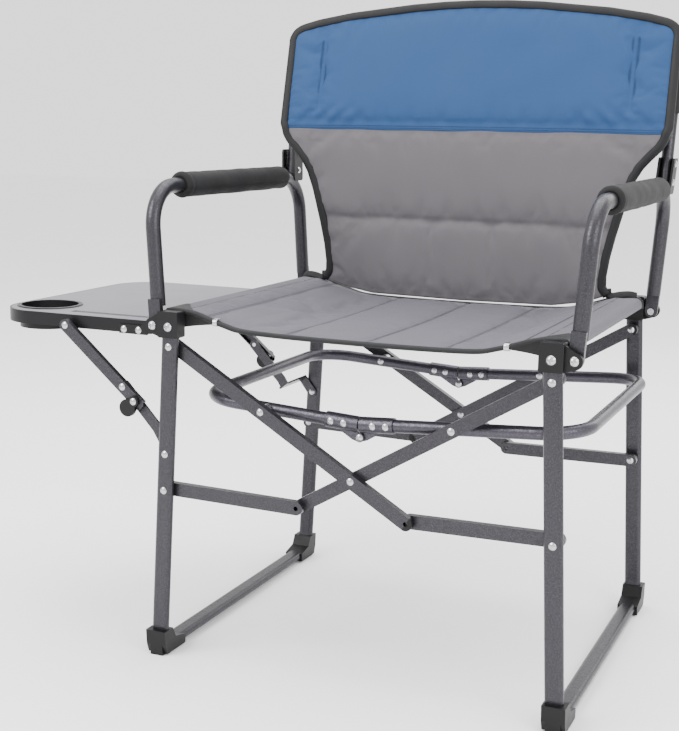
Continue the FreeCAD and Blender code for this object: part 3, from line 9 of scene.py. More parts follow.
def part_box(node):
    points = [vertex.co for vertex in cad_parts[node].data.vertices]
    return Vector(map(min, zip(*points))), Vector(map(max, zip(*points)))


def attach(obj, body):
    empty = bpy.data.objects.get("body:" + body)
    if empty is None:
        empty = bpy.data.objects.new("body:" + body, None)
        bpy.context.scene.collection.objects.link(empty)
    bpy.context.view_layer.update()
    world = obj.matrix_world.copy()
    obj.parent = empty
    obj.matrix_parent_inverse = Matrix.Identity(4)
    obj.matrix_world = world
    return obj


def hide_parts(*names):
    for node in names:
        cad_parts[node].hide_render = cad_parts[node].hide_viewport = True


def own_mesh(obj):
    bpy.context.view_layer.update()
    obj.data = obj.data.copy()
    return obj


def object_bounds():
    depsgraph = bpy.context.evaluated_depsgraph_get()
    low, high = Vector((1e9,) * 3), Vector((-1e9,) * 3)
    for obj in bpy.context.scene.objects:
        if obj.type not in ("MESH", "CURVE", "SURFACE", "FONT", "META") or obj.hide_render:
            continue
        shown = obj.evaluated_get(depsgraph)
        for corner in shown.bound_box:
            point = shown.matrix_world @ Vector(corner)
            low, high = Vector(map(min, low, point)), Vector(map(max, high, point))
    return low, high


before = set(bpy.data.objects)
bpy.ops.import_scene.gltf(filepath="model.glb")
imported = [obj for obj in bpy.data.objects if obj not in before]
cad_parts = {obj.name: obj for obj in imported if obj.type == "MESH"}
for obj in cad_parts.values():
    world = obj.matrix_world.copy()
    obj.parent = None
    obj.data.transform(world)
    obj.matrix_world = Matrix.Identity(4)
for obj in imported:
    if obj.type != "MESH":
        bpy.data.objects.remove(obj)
CAD_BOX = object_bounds()


# ---------------------------------------------------------------- materials


class Look:
    """A principled material with its colour, roughness and bump from procedural nodes."""

    def __init__(self, name, roughness=0.5, **constants):
        self.material = bpy.data.materials.new(name)
        self.material.use_nodes = True
        self.tree = self.material.node_tree
        self.shader = self.tree.nodes["Principled BSDF"]
        self.shader.inputs["Roughness"].default_value = roughness
        for socket, value in constants.items():
            self.shader.inputs[socket.replace("_", " ")].default_value = value
        self.place = self.tree.nodes.new("ShaderNodeTexCoord").outputs["Object"]
        self.bumped = None

    def add(self, kind, **settings):
        node = self.tree.nodes.new(kind)
        for key, value in settings.items():
            setattr(node, key, value)
        return node

    def link(self, source, target):
        self.tree.links.new(source, target)

    def noise(self, per_metre, detail=3.0, stretch=(1, 1, 1), rough=0.55):
        """Noise whose features are about one over per_metre wide."""
        scaled = self.add("ShaderNodeMapping")
        scaled.inputs["Scale"].default_value = stretch
        self.link(self.place, scaled.inputs["Vector"])
        node = self.add("ShaderNodeTexNoise")
        node.inputs["Scale"].default_value = per_metre
        node.inputs["Detail"].default_value = detail
        node.inputs["Roughness"].default_value = rough
        self.link(scaled.outputs["Vector"], node.inputs["Vector"])
        return node.outputs["Fac"]

    def cells(self, per_metre, smooth=0.4):
        node = self.add("ShaderNodeTexVoronoi", feature="SMOOTH_F1")
        node.inputs["Scale"].default_value = per_metre
        node.inputs["Smoothness"].default_value = smooth
        self.link(self.place, node.inputs["Vector"])
        return node.outputs["Distance"]

    def bands(self, direction, period):
        """Rounded ribs across one axis, one every period metres."""
        node = self.add("ShaderNodeTexWave", wave_type="BANDS", bands_direction=direction)
        node.inputs["Scale"].default_value = math.pi / (10 * period)
        node.inputs["Distortion"].default_value = 0.25
        node.inputs["Detail"].default_value = 1.0
        self.link(self.place, node.inputs["Vector"])
        return node.outputs["Fac"]

    def ramp(self, source, stops):
        node = self.add("ShaderNodeValToRGB")
        while len(node.color_ramp.elements) < len(stops):
            node.color_ramp.elements.new(0.5)
        for element, (position, colour) in zip(node.color_ramp.elements, stops):
            element.position = position
            element.color = (*colour, 1) if len(colour) == 3 else colour
        self.link(source, node.inputs["Fac"])
        return node.outputs["Color"]

    def mix(self, one, two, share, blend="MIX"):
        node = self.add("ShaderNodeMix", data_type="RGBA", blend_type=blend)
        sockets = [s for s in node.inputs if s.type == "RGBA"]
        node.inputs["Factor"].default_value = share if isinstance(share, float) else 0.5
        if not isinstance(share, float):
            self.link(share, node.inputs["Factor"])
        for value, socket in ((one, sockets[0]), (two, sockets[1])):
            self.link(value, socket)
        return [s for s in node.outputs if s.type == "RGBA"][0]

    def colour(self, source):
        self.link(source, self.shader.inputs["Base Color"])

    def roughen(self, source, low, high):
        node = self.add("ShaderNodeMapRange")
        node.inputs["To Min"].default_value = low
        node.inputs["To Max"].default_value = high
        self.link(source, node.inputs["Value"])
        self.link(node.outputs["Result"], self.shader.inputs["Roughness"])

    def bump(self, height, depth, strength=1.0):
        """Adds relief of about depth metres."""
        node = self.add("ShaderNodeBump")
        node.inputs["Strength"].default_value = strength
        node.inputs["Distance"].default_value = depth
        self.link(height, node.inputs["Height"])
        if self.bumped:
            self.link(self.bumped, node.inputs["Normal"])
        self.bumped = node.outputs["Normal"]
        self.link(self.bumped, self.shader.inputs["Normal"])


def grey(value, tint=(1, 1, 1)):
    return tuple(value * t for t in tint)


def hammered(name, base, metallic=0.75):
    """Hammertone powder coat: small raised lakes with fine bright specks."""
    look = Look(name, 0.36, Metallic=metallic, Coat_Weight=0.08, Coat_Roughness=0.2,
                Specular_IOR_Level=0.35)
    lakes = look.cells(420, 0.6)
    speck = look.noise(1050, 2.0)
    broad = look.noise(9, 2.0)
    body = look.ramp(lakes, [(0.0, grey(1.6, base)), (0.5, grey(0.8, base)),
                             (1.0, grey(0.5, base))])
    flecks = look.ramp(speck, [(0.38, grey(0.55, base)), (0.56, base), (0.68, grey(3.2, base))])
    tone = look.ramp(broad, [(0.3, grey(0.92, base)), (0.7, grey(1.08, base))])
    look.colour(look.mix(look.mix(body, flecks, 0.5), tone, 0.3))
    look.roughen(lakes, 0.26, 0.46)
    look.bump(lakes, 0.00035, 0.55)
    look.bump(speck, 0.00008, 0.4)
    return look.material


def plated(name, base, rough=0.24):
    """Zinc-plated steel with faint drawn scratches and handling stains."""
    look = Look(name, rough, Metallic=1.0)
    scratch = look.noise(900, 3.0, (1, 6, 1))
    stain = look.noise(160, 3.0)
    look.colour(look.mix(
        look.ramp(stain, [(0.3, grey(0.78, base)), (0.65, base)]),
        look.ramp(scratch, [(0.3, grey(0.9, base)), (0.7, grey(1.08, base))]), 0.4))
    look.roughen(stain, rough - 0.06, rough + 0.16)
    look.bump(scratch, 0.00004, 0.35)
    return look.material


def moulded(name, base, rough=0.42, grain=1400, depth=0.00008):
    """Injection-moulded plastic with spark-eroded grain and slight sheen changes. The grain is painted darker
    in its low parts, as painted shade.
    """
    look = Look(name, rough, Specular_IOR_Level=0.22)
    fine = look.noise(grain, 2.0)
    cloud = look.noise(60, 3.0)
    # painted shade: the fine grain colour darkens where the grain bump below sinks; the cloud tone is random
    look.colour(look.mix(
        look.ramp(fine, [(0.3, grey(0.85, base)), (0.7, grey(1.2, base))]),
        look.ramp(cloud, [(0.3, grey(0.9, base)), (0.7, grey(1.12, base))]), 0.5))
    look.roughen(cloud, rough - 0.07, rough + 0.1)
    look.bump(fine, depth, 0.5)
    return look.material


def foam(name):
    """Closed-cell foam: matt, with fine pore pits and soft dent hollows, both painted darker in their low
    parts as painted shade.
    """
    look = Look(name, 0.85, Sheen_Weight=0.02, Sheen_Roughness=0.6, Specular_IOR_Level=0.3)
    pores_and_pit_shade = look.cells(1300, 0.25)
    dents_and_hollow_shade = look.noise(70, 3.0)
    # painted shade: colour darkens in the pore pits and the dent hollows that the bumps below carve
    look.colour(look.mix(
        look.ramp(pores_and_pit_shade, [(0.0, (0.0025, 0.0025, 0.0028)), (0.5, (0.0075, 0.0072, 0.0078))]),
        look.ramp(dents_and_hollow_shade, [(0.3, (0.0045, 0.0044, 0.0048)), (0.7, (0.0105, 0.0100, 0.0105))]), 0.5))
    look.roughen(dents_and_hollow_shade, 0.78, 0.95)
    look.bump(pores_and_pit_shade, 0.00012, 0.6)
    look.bump(dents_and_hollow_shade, 0.0012, 0.5)
    return look.material


def woven(name, base, along, across, period=0.0011, rough=0.72, sheen=0.25):
    """Coated polyester: plain weave, slubs, and broad soft creases. The weave and slubs are painted darker
    where their bumps sink, as painted shade; the broad cloud tone is the cloth's own.
    """
    look = Look(name, rough, Sheen_Weight=sheen, Sheen_Roughness=0.45, Specular_IOR_Level=0.3)
    warp = look.bands(along, period)
    weft = look.bands(across, period * 1.12)
    slub = look.noise(240, 3.0, (1, 5, 1) if across == "Y" else (1, 1, 5))
    cloud = look.noise(11, 4.0)
    crease = look.noise(26, 2.0, (1, 0.45, 0.45))
    # painted shade: thread colour darkens in the grooves between threads, following the weave bumps below
    thread_groove_shade = look.mix(
        look.ramp(warp, [(0.15, grey(0.84, base)), (0.8, grey(1.1, base))]),
        look.ramp(weft, [(0.15, grey(0.86, base)), (0.8, grey(1.08, base))]), 0.5)
    # slub tone follows the slub bump, painted shade in its low parts; the cloud tone is random
    slub_shade_and_mottle = look.mix(
        look.ramp(slub, [(0.3, grey(0.92, base)), (0.7, grey(1.09, base))]),
        look.ramp(cloud, [(0.3, grey(0.93, base)), (0.7, grey(1.07, base))]), 0.55)
    look.colour(look.mix(thread_groove_shade, slub_shade_and_mottle, 0.5))
    look.roughen(cloud, rough - 0.06, rough + 0.1)
    look.bump(warp, 0.00018, 0.5)
    look.bump(weft, 0.00018, 0.5)
    look.bump(slub, 0.0002, 0.3)
    look.bump(crease, 0.0035, 0.35)
    return look.material


def ribbed(name, base, period=0.0016):
    """Woven binding tape and webbing: fine ribs with a soft shine. The diagonal ribs are painted darker in the
    grooves between them, as painted shade.
    """
    look = Look(name, 0.68, Sheen_Weight=0.03, Sheen_Roughness=0.4, Specular_IOR_Level=0.3)
    ribs = look.noise(620, 2.0, (1, 1, 1))
    wear = look.noise(45, 3.0)
    bands = look.bands("DIAGONAL", period)
    # painted shade: the diagonal rib colour darkens in the grooves that the rib bump below carves; the wear
    # tone is random
    look.colour(look.mix(
        look.ramp(bands, [(0.2, grey(0.7, base)), (0.8, grey(1.35, base))]),
        look.ramp(wear, [(0.3, grey(0.85, base)), (0.75, grey(1.5, base))]), 0.5))
    look.roughen(wear, 0.52, 0.72)
    look.bump(bands, 0.00018, 0.5)
    look.bump(ribs, 0.0001, 0.4)
    return look.material


def panel_board(name, base):
    """Table top: satin sheet over board, with a fine leather-like grain."""
    look = Look(name, 0.45, Coat_Weight=0.1, Coat_Roughness=0.3)
    grain = look.cells(900, 0.5)
    cloud = look.noise(18, 3.0)
    look.colour(look.mix(
        look.ramp(grain, [(0.0, grey(1.05, base)), (0.7, grey(0.93, base))]),
        look.ramp(cloud, [(0.3, grey(0.95, base)), (0.7, grey(1.05, base))]), 0.5))
    look.roughen(cloud, 0.4, 0.54)
    look.bump(grain, 0.00008, 0.4)
    return look.material


FRAME = hammered("frame_hammered", (0.040, 0.038, 0.044))
LOOP = hammered("loop_hammered", (0.058, 0.053, 0.066))
STEEL = plated("steel_plated", (0.50, 0.50, 0.52), 0.2)
BLACK = moulded("plastic_black", (0.0048, 0.0044, 0.0052))
SKIRT = moulded("plastic_skirt", (0.0036, 0.0032, 0.0042), 0.34)
PANEL = panel_board("table_board", (0.128, 0.122, 0.142))
FOAM = foam("foam_black")
SEAT_CLOTH = woven("cloth_seat", (0.094, 0.090, 0.107), "X", "Y", sheen=0.03)
BACK_GREY = woven("cloth_back_grey", (0.098, 0.091, 0.100), "X", "Z", sheen=0.03)
BACK_BLUE = woven("cloth_back_blue", (0.0125, 0.048, 0.135), "X", "Z", sheen=0.02)
LINING = woven("cloth_lining", (0.007, 0.007, 0.008), "X", "Z", 0.0012, sheen=0.02)
BINDING = ribbed("binding_black", (0.0042, 0.0042, 0.0050))
THREAD_GREY = ribbed("thread_grey", (0.070, 0.068, 0.078), 0.0004)
THREAD_BLUE = ribbed("thread_blue", (0.008, 0.030, 0.085), 0.0004)

CARRIED = {
    "leg_frame": FRAME, "bar_": FRAME, "link_": FRAME, "arm_hoop": FRAME, "back_post": FRAME,
    "brace_upper": FRAME, "brace_lower": FRAME, "seat_rail": FRAME, "loop_tube": LOOP,
    "loop_sleeves": LOOP, "post_clamps": BLACK, "foot_caps": BLACK, "bracket_left": BLACK,
    "bracket_right": BLACK, "plugs_": BLACK, "catch_": BLACK, "pivot_spacers": BLACK,
    "bracket_bolts": STEEL, "pivot_rivets": STEEL, "cross_rivets": STEEL, "loop_rivets": STEEL,
    "loop_studs": STEEL,
    "clamp_bolts": STEEL, "table_rivets": STEEL, "brace_rivets": STEEL, "strut_studs": STEEL,
    "table_hinge": BLACK, "table_tray": SKIRT, "cup_ring": SKIRT, "table_top": PANEL,
}


def dress(node_object, material):
    slots = node_object.material_slots
    if not slots:
        node_object.data.materials.append(material)
    for item in slots:
        item.material = material


for node_name, node_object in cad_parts.items():
    for stem, material in CARRIED.items():
        if node_name.startswith(stem):
            dress(node_object, material)


# ---------------------------------------------------------------- mesh helpers


def finish_piece(name, mesh, material, smooth=True):
    mesh.validate()
    piece = bpy.data.objects.new(name, mesh)
    bpy.context.scene.collection.objects.link(piece)
    mesh.materials.append(material)
    if smooth:
        mesh.polygons.foreach_set("use_smooth", [True] * len(mesh.polygons))
    return piece


def spline(points, count):
    """Catmull-Rom line through points, at count even steps of its length."""
    pts = [Vector(p) for p in points]
    ends = [2 * pts[0] - pts[1]] + pts + [2 * pts[-1] - pts[-2]]
    fine = []
    for i in range(1, len(ends) - 2):
        a, b, c, d = ends[i - 1:i + 3]
        for step in range(24):
            t = step / 24
            fine.append(0.5 * (2 * b + (c - a) * t + (2 * a - 5 * b + 4 * c - d) * t * t
                               + (3 * b - a - 3 * c + d) * t ** 3))
    fine.append(pts[-1])
    lengths = [0.0]
    for one, two in zip(fine, fine[1:]):
        lengths.append(lengths[-1] + (two - one).length)
    result = []
    at = 0
    for index in range(count):
        goal = lengths[-1] * index / (count - 1)
        while at < len(fine) - 2 and lengths[at + 1] < goal:
            at += 1
        gap = lengths[at + 1] - lengths[at]
        share = (goal - lengths[at]) / gap if gap > 1e-12 else 0
        result.append(fine[at].lerp(fine[at + 1], min(max(share, 0), 1)))
    return result


def interpolate(table, x):
    """Value at x in a list of (x, value), straight between its rows."""
    if x <= table[0][0]:
        return table[0][1]
    for (x0, v0), (x1, v1) in zip(table, table[1:]):
        if x <= x1:
            return v0 + (v1 - v0) * (x - x0) / (x1 - x0)
    return table[-1][1]


def shell(name, front, back, material):
    """Closed padded shell from two grids of points, front[j][i] and back[j][i]."""
    rows, columns = len(front), len(front[0])
    verts = [p for row in front for p in row] + [p for row in back for p in row]
    faces = []

    def at(layer, j, i):
        return layer * rows * columns + j * columns + i

    for j in range(rows - 1):
        for i in range(columns - 1):
            faces.append((at(0, j, i), at(0, j, i + 1), at(0, j + 1, i + 1), at(0, j + 1, i)))
            faces.append((at(1, j, i), at(1, j + 1, i), at(1, j + 1, i + 1), at(1, j, i + 1)))
    for i in range(columns - 1):
        faces.append((at(0, 0, i), at(1, 0, i), at(1, 0, i + 1), at(0, 0, i + 1)))
        last = rows - 1
        faces.append((at(0, last, i), at(0, last, i + 1), at(1, last, i + 1), at(1, last, i)))
    for j in range(rows - 1):
        faces.append((at(0, j, 0), at(0, j + 1, 0), at(1, j + 1, 0), at(1, j, 0)))
        last = columns - 1
        faces.append((at(0, j, last), at(1, j, last), at(1, j + 1, last), at(0, j + 1, last)))
    mesh = bpy.data.meshes.new(name)
    mesh.from_pydata([tuple(v) for v in verts], [], faces)
    return finish_piece(name, mesh, material)


def inflate(piece, held, pressure, cap, slack=-0.015, steps=20):
    """Swells a shell with a cloth simulation. held gives each vertex's grip, from 0 to 1."""
    group = piece.vertex_groups.new(name="held")
    for index, grip in enumerate(held):
        if grip > 0:
            group.add([index], grip, "REPLACE")
    rest = np.array([v.co for v in piece.data.vertices])
    modifier = piece.modifiers.new("Cloth", "CLOTH")
    settings = modifier.settings
    settings.quality = 4
    settings.mass = 0.25
    settings.tension_stiffness = 12
    settings.compression_stiffness = 12
    settings.shear_stiffness = 6
    settings.bending_stiffness = 0.35
    settings.vertex_group_mass = "held"
    settings.pin_stiffness = 1.0
    settings.use_pressure = True
    settings.uniform_pressure_force = pressure
    settings.shrink_min = slack
    settings.effector_weights.gravity = 0.0
    modifier.collision_settings.use_collision = False
    modifier.point_cache.frame_start = 1
    modifier.point_cache.frame_end = steps
    scene = bpy.context.scene
    for step in range(1, steps + 1):
        scene.frame_set(step)
    evaluated = piece.evaluated_get(bpy.context.evaluated_depsgraph_get())
    moved = np.array([v.co for v in evaluated.data.vertices])
    offset = moved - rest
    length = np.linalg.norm(offset, axis=1, keepdims=True)
    soft_cap = cap * np.tanh(length / cap)
    offset = np.where(length > 1e-9, offset / np.maximum(length, 1e-9) * soft_cap, 0)
    piece.modifiers.remove(modifier)
    scene.frame_set(1)
    piece.data.vertices.foreach_set("co", (rest + offset).astype(np.float32).ravel())
    piece.data.update()


def subdivide(piece, levels=1):
    modifier = piece.modifiers.new("Smooth", "SUBSURF")
    modifier.levels = levels
    modifier.render_levels = levels


def sweep(name, path, normals, half_wide, half_thick, material, closed=False, sides=12, power=0.6):
    """Band with rounded edges along a path. normals point out of its flat face."""
    count = len(path)
    verts = []
    faces = []
    for index, point in enumerate(path):
        before = path[index - 1] if index or closed else path[0]
        after = path[(index + 1) % count] if index < count - 1 or closed else path[-1]
        along = (after - before).normalized()
        out = normals[index].normalized() if isinstance(normals, list) else normals.normalized()
        side = along.cross(out).normalized()
        out = side.cross(along).normalized()
        for step in range(sides):
            angle = 2 * math.pi * step / sides
            c, s = math.cos(angle), math.sin(angle)
            u = math.copysign(abs(c) ** power, c)
            v = math.copysign(abs(s) ** power, s)
            verts.append(point + side * u * half_wide + out * v * half_thick)
    loops = count if closed else count - 1
    for index in range(loops):
        a, b = index * sides, (index + 1) % count * sides
        for step in range(sides):
            faces.append((a + step, a + (step + 1) % sides, b + (step + 1) % sides, b + step))
    if not closed:
        faces.append(tuple(reversed(range(sides))))
        faces.append(tuple(range((count - 1) * sides, count * sides)))
    mesh = bpy.data.meshes.new(name)
    mesh.from_pydata([tuple(v) for v in verts], [], faces)
    fixed = bmesh.new()
    fixed.from_mesh(mesh)
    bmesh.ops.recalc_face_normals(fixed, faces=fixed.faces)
    fixed.to_mesh(mesh)
    fixed.free()
    return finish_piece(name, mesh, material)


def stitches(name, lines, material, pitch=0.0042, long=0.0028, radius=0.00042):
    """Thread stitches along lines of (points, outward normals)."""
    verts = []
    faces = []
    for path, normals in lines:
        carried = 0.0
        for one, two, out in zip(path, path[1:], normals):
            span = (two - one).length
            if span < 1e-9:
                continue
            along = (two - one) / span
            side = along.cross(out).normalized()
            at = pitch - carried
            while at < span:
                middle = one + along * at + out * radius * 0.4
                base = len(verts)
                for end, thin in ((-0.5, 0.25), (-0.2, 1.0), (0.2, 1.0), (0.5, 0.25)):
                    for step in range(6):
                        angle = math.pi * step / 3
                        ring = side * math.cos(angle) + out * math.sin(angle)
                        verts.append(middle + along * long * end + ring * radius * thin)
                for ring in range(3):
                    for step in range(6):
                        a = base + ring * 6 + step
                        b = base + ring * 6 + (step + 1) % 6
                        faces.append((a, b, b + 6, a + 6))
                faces.append(tuple(base + s for s in reversed(range(6))))
                faces.append(tuple(base + 18 + s for s in range(6)))
                at += pitch
            carried = span - (at - pitch)
    mesh = bpy.data.meshes.new(name)
    mesh.from_pydata([tuple(v) for v in verts], [], faces)
    return finish_piece(name, mesh, material)


def ripple(point, size, height, seed):
    """Smooth seeded unevenness, for cloth that isn't perfectly flat."""
    return height * noise.noise(Vector(point) / size + Vector((seed, seed * 0.7, -seed)))


# ---------------------------------------------------------------- seat sling

SEAT_LOW, SEAT_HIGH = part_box("seat_fabric")
SEAT_FRONT, SEAT_REAR = SEAT_LOW.y, SEAT_HIGH.y
SEAT_TOP_LINE = [(0.0, 0.4570), (0.144, 0.4590), (0.187, 0.4660), (0.228, 0.4785), (0.252, 0.4813),
                 (0.266, 0.4815), (0.2725, 0.4785), (0.2745, 0.4725), (0.2745, 0.4662)]
SEAT_UNDER_LINE = [(0.0, 0.4535), (0.144, 0.4555), (0.187, 0.4625), (0.228, 0.4750), (0.252, 0.4782),
                   (0.264, 0.4785), (0.2695, 0.4755), (0.2707, 0.4715), (0.2707, 0.4662)]
SEAT_SEAMS = (-0.212, -0.100, 0.012, 0.118, 0.215)


def whole_line(half, count):
    right = [Vector((x, 0, z)) for x, z in half]
    left = [Vector((-x, 0, z)) for x, z in reversed(half[1:])]
    return spline(left + right, count)


SEAT_ACROSS, SEAT_DEEP = 118, 84
seat_top_line = whole_line(SEAT_TOP_LINE, SEAT_ACROSS)
seat_under_line = whole_line(SEAT_UNDER_LINE, SEAT_ACROSS)


def seat_sag(x, v):
    inner = max(0.0, 1 - (x / 0.235) ** 2)
    return 0.0032 * inner * math.sin(math.pi * v)


def seat_grid(line):
    grid = []
    for j in range(SEAT_DEEP):
        v = j / (SEAT_DEEP - 1)
        y = SEAT_FRONT + 0.002 + (SEAT_REAR - SEAT_FRONT - 0.004) * v
        grid.append([Vector((p.x, y, p.z - seat_sag(p.x, v))) for p in line])
    return grid


def seat_grip(line):
    grips = []
    for j in range(SEAT_DEEP):
        for p in line:
            edge = j < 3 or j > SEAT_DEEP - 4 or abs(p.x) > 0.243
            near = min(abs(p.x - seam) for seam in SEAT_SEAMS)
            grips.append(1.0 if edge or near < 0.0026 else 0.0)
    return grips


seat = shell("seat_sling_padded", seat_grid(seat_top_line), seat_grid(seat_under_line), SEAT_CLOTH)
inflate(seat, seat_grip(seat_top_line) + seat_grip(seat_under_line), 3.2, 0.0042, -0.02)
total = SEAT_ACROSS * SEAT_DEEP
for vertex in seat.data.vertices:
    near = min(abs(vertex.co.x - seam) for seam in SEAT_SEAMS)
    if abs(vertex.co.x) < 0.25:
        groove = 0.0016 * math.exp(-(near / 0.0030) ** 2)
        vertex.co.z += -groove if vertex.index < total else groove * 0.5
        vertex.co.z += ripple(vertex.co, 0.05, 0.0009, 3.0)
subdivide(seat)
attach(seat, "side_left")
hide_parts("seat_fabric")
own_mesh(seat)


def seat_height(x, v=0.5):
    table = [(p.x, p.z) for p in seat_top_line]
    return interpolate(table, x) - seat_sag(x, v)


def seat_point(x, y, lift=0.0):
    v = (y - SEAT_FRONT) / (SEAT_REAR - SEAT_FRONT)
    return Vector((x, y, seat_height(x, v) + lift))


def seat_trim(piece):
    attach(piece, "side_left")
    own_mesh(piece)
    return piece


UP = Vector((0, 0, 1))
FORWARD = Vector((0, -1, 0))
for end_name, y in (("front", SEAT_FRONT + 0.0035), ("rear", SEAT_REAR - 0.0035)):
    middle = [(a + b) / 2 for a, b in zip(seat_top_line, seat_under_line)]
    edge = [Vector((p.x, y, p.z)) for p in middle if abs(p.x) < 0.2735]
    facing = []
    for index, point in enumerate(edge):
        one = edge[max(index - 1, 0)]
        two = edge[min(index + 1, len(edge) - 1)]
        facing.append(Vector((0, 1, 0)).cross(two - one).normalized() * -1)
    seat_trim(sweep(f"seat_hem_{end_name}", edge, facing, 0.0052, 0.0030, BINDING))

seam_lines = []
for seam in SEAT_SEAMS:
    for offset in (-0.0016, 0.0016):
        path = [seat_point(seam + offset, SEAT_FRONT + 0.008 + 0.413 * k / 60, 0.0) for k in range(61)]
        seam_lines.append((path, [UP] * 60))
for side in (-1, 1):
    path = [seat_point(side * 0.2415, SEAT_FRONT + 0.008 + 0.413 * k / 60, 0.0006) for k in range(61)]
    seam_lines.append((path, [Vector((-side * 0.25, 0, 1)).normalized()] * 60))
seat_trim(stitches("seat_stitching", seam_lines, THREAD_GREY))

for side_name, side in (("left", -1), ("right", 1)):
    rows = []
    for j in range(15):
        v = j / 14
        y = SEAT_FRONT + 0.0005 + 0.044 * v
        inner = 0.226 + 0.034 * v ** 0.8
        rows.append([seat_point(side * (inner + (0.2722 - inner) * i / 12), y, 0.0011) for i in range(13)])
    under = [[p - Vector((0, 0, 0.0010)) for p in row] for row in rows]
    if side < 0:
        rows, under = under, rows
    patch = shell(f"seat_corner_patch_{side_name}", rows, under, BINDING)
    seat_trim(patch)
    for at in (0.197,):
        bottom = seat_point(side * at, SEAT_FRONT + 0.001)
        clip_path = [
            bottom + Vector((0, 0.0125, 0.0022)), bottom + Vector((0, 0.006, 0.0028)),
            bottom + Vector((0, -0.0010, 0.0020)), bottom + Vector((0, -0.0026, -0.0016)),
            bottom + Vector((0, -0.0012, -0.0056)), bottom + Vector((0, 0.006, -0.0066)),
        ]
        path = spline(clip_path, 22)
        outs = []
        for index in range(len(path)):
            one = path[max(index - 1, 0)]
            two = path[min(index + 1, len(path) - 1)]
            outs.append((two - one).cross(Vector((1, 0, 0))).normalized())
        clip = sweep(f"hem_clip_{side_name}", path, outs, 0.0034, 0.0005, STEEL)
        seat_trim(clip)


for side_name, side in (("left", -1), ("right", 1)):
    rows = []
    for j in range(13):
        v = j / 12
        row = []
        for i in range(15):
            x = 0.2585 - 0.0595 * i / 14
            upper = seat_height(x, 0) - 0.004
            lower = 0.4545 + (0.4640 - 0.4545) * (i / 14) ** 0.8
            z = upper + (min(lower, upper - 0.0006) - upper) * v
            y = SEAT_FRONT + 0.0030 + 0.0045 * v * math.sin(math.pi * i / 14)
            row.append(Vector((side * x, y, z)))
        rows.append(row)
    behind = [[p + Vector((0, 0.0012, 0)) for p in row] for row in rows]
    if side > 0:
        rows, behind = behind, rows
    web = shell(f"front_corner_web_{side_name}", rows, behind, BINDING)
    seat_trim(web)


# ---------------------------------------------------------------- back rest

BACK_LOW, BACK_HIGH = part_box("back_lower")
UPPER_LOW, UPPER_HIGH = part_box("back_upper")
BACK_Y = BACK_LOW.y
BACK_THICK = BACK_HIGH.y - BACK_LOW.y
SEAM_Z = BACK_HIGH.z
RECLINE = math.radians(13.8)
BACK_WIDTHS = [(0.4845, 0.228), (0.498, 0.2195), (0.515, 0.2192), (0.540, 0.2230), (0.570, 0.2300),
               (0.597, 0.2372), (0.625, 0.2447), (0.652, 0.2545), (0.670, 0.2650), (0.684, 0.2775),
               (0.698, 0.2915), (0.708, 0.2975), (0.718, 0.3000)]
BACK_DROP = [(0.0, 0.0230), (0.144, 0.0210), (0.187, 0.0140), (0.210, 0.0070), (0.228, 0.0)]
SHOULDERS = [(0.0, 0.902), (0.05, 0.901), (0.1, 0.8980), (0.2, 0.8875), (0.255, 0.8780), (0.280, 0.8715),
             (0.290, 0.8672), (0.2965, 0.8610), (0.3010, 0.8480)]
BACK_ACROSS, LOWER_TALL, UPPER_TALL = 112, 54, 42


def back_belly(x, z):
    """The sling bows back a little between its posts."""
    across = max(0.0, 1 - (x / 0.26) ** 2)
    return 0.0030 * across * math.sin(math.pi * min(max((z - 0.47) / 0.40, 0), 1))


def lower_point(u, v, deep):
    z = 0.4845 + (SEAM_Z - 0.0005 - 0.4845) * v
    x = u * (interpolate(BACK_WIDTHS, z) - 0.001)
    z -= (1 - v) ** 1.6 * interpolate(BACK_DROP, abs(x))
    rise = min(1.0, 1.25 * (1 - v) * 8)
    y = BACK_Y + deep * BACK_THICK + back_belly(x, z) * rise * 0.6
    return Vector((x, y, z))


def upper_point(u, v, deep):
    x = u * 0.3015
    up = (interpolate(SHOULDERS, abs(x)) - SEAM_Z + 0.0035) * v / math.cos(RECLINE)
    y = BACK_Y - 0.0009 + deep * BACK_THICK * math.cos(RECLINE) + up * math.sin(RECLINE)
    z = SEAM_Z - 0.0035 + up * math.cos(RECLINE)
    return Vector((x, y + back_belly(x, 0.60) * 0.5 * math.sin(math.pi * v), z))


def panel_grid(point, tall, deep):
    return [[point(2 * i / (BACK_ACROSS - 1) - 1, j / (tall - 1), deep)
             for i in range(BACK_ACROSS)] for j in range(tall)]


QUILT_Z = 0.580


def lower_grip(grid):
    grips = []
    for j, row in enumerate(grid):
        for i, p in enumerate(row):
            edge = j < 2 or j > len(grid) - 3 or i < 2 or i > BACK_ACROSS - 3
            quilt = abs(p.z - QUILT_Z) < 0.0027
            grips.append(1.0 if edge or quilt else 0.0)
    return grips


def upper_grip(grid):
    grips = []
    for j, row in enumerate(grid):
        for i, p in enumerate(row):
            edge = j < 3 or j > len(grid) - 3 or i < 2 or i > BACK_ACROSS - 3
            sleeve = abs(abs(p.x) - 0.2415) < 0.0030 and 0.745 < p.z < 0.880
            grips.append(1.0 if edge or sleeve else 0.0)
    return grips


front = panel_grid(lower_point, LOWER_TALL, 0.22)
rear = panel_grid(lower_point, LOWER_TALL, 0.86)
back_lower = shell("back_lower_padded", front, rear, BACK_GREY)
inflate(back_lower, lower_grip(front) + lower_grip(rear), 4.0, 0.0062, -0.03)
half = BACK_ACROSS * LOWER_TALL
for vertex in back_lower.data.vertices:
    groove = 0.0022 * math.exp(-((vertex.co.z - QUILT_Z) / 0.0034) ** 2)
    vertex.co.y += groove if vertex.index < half else -groove
    vertex.co.y += ripple(vertex.co, 0.07, 0.0012, 7.0)

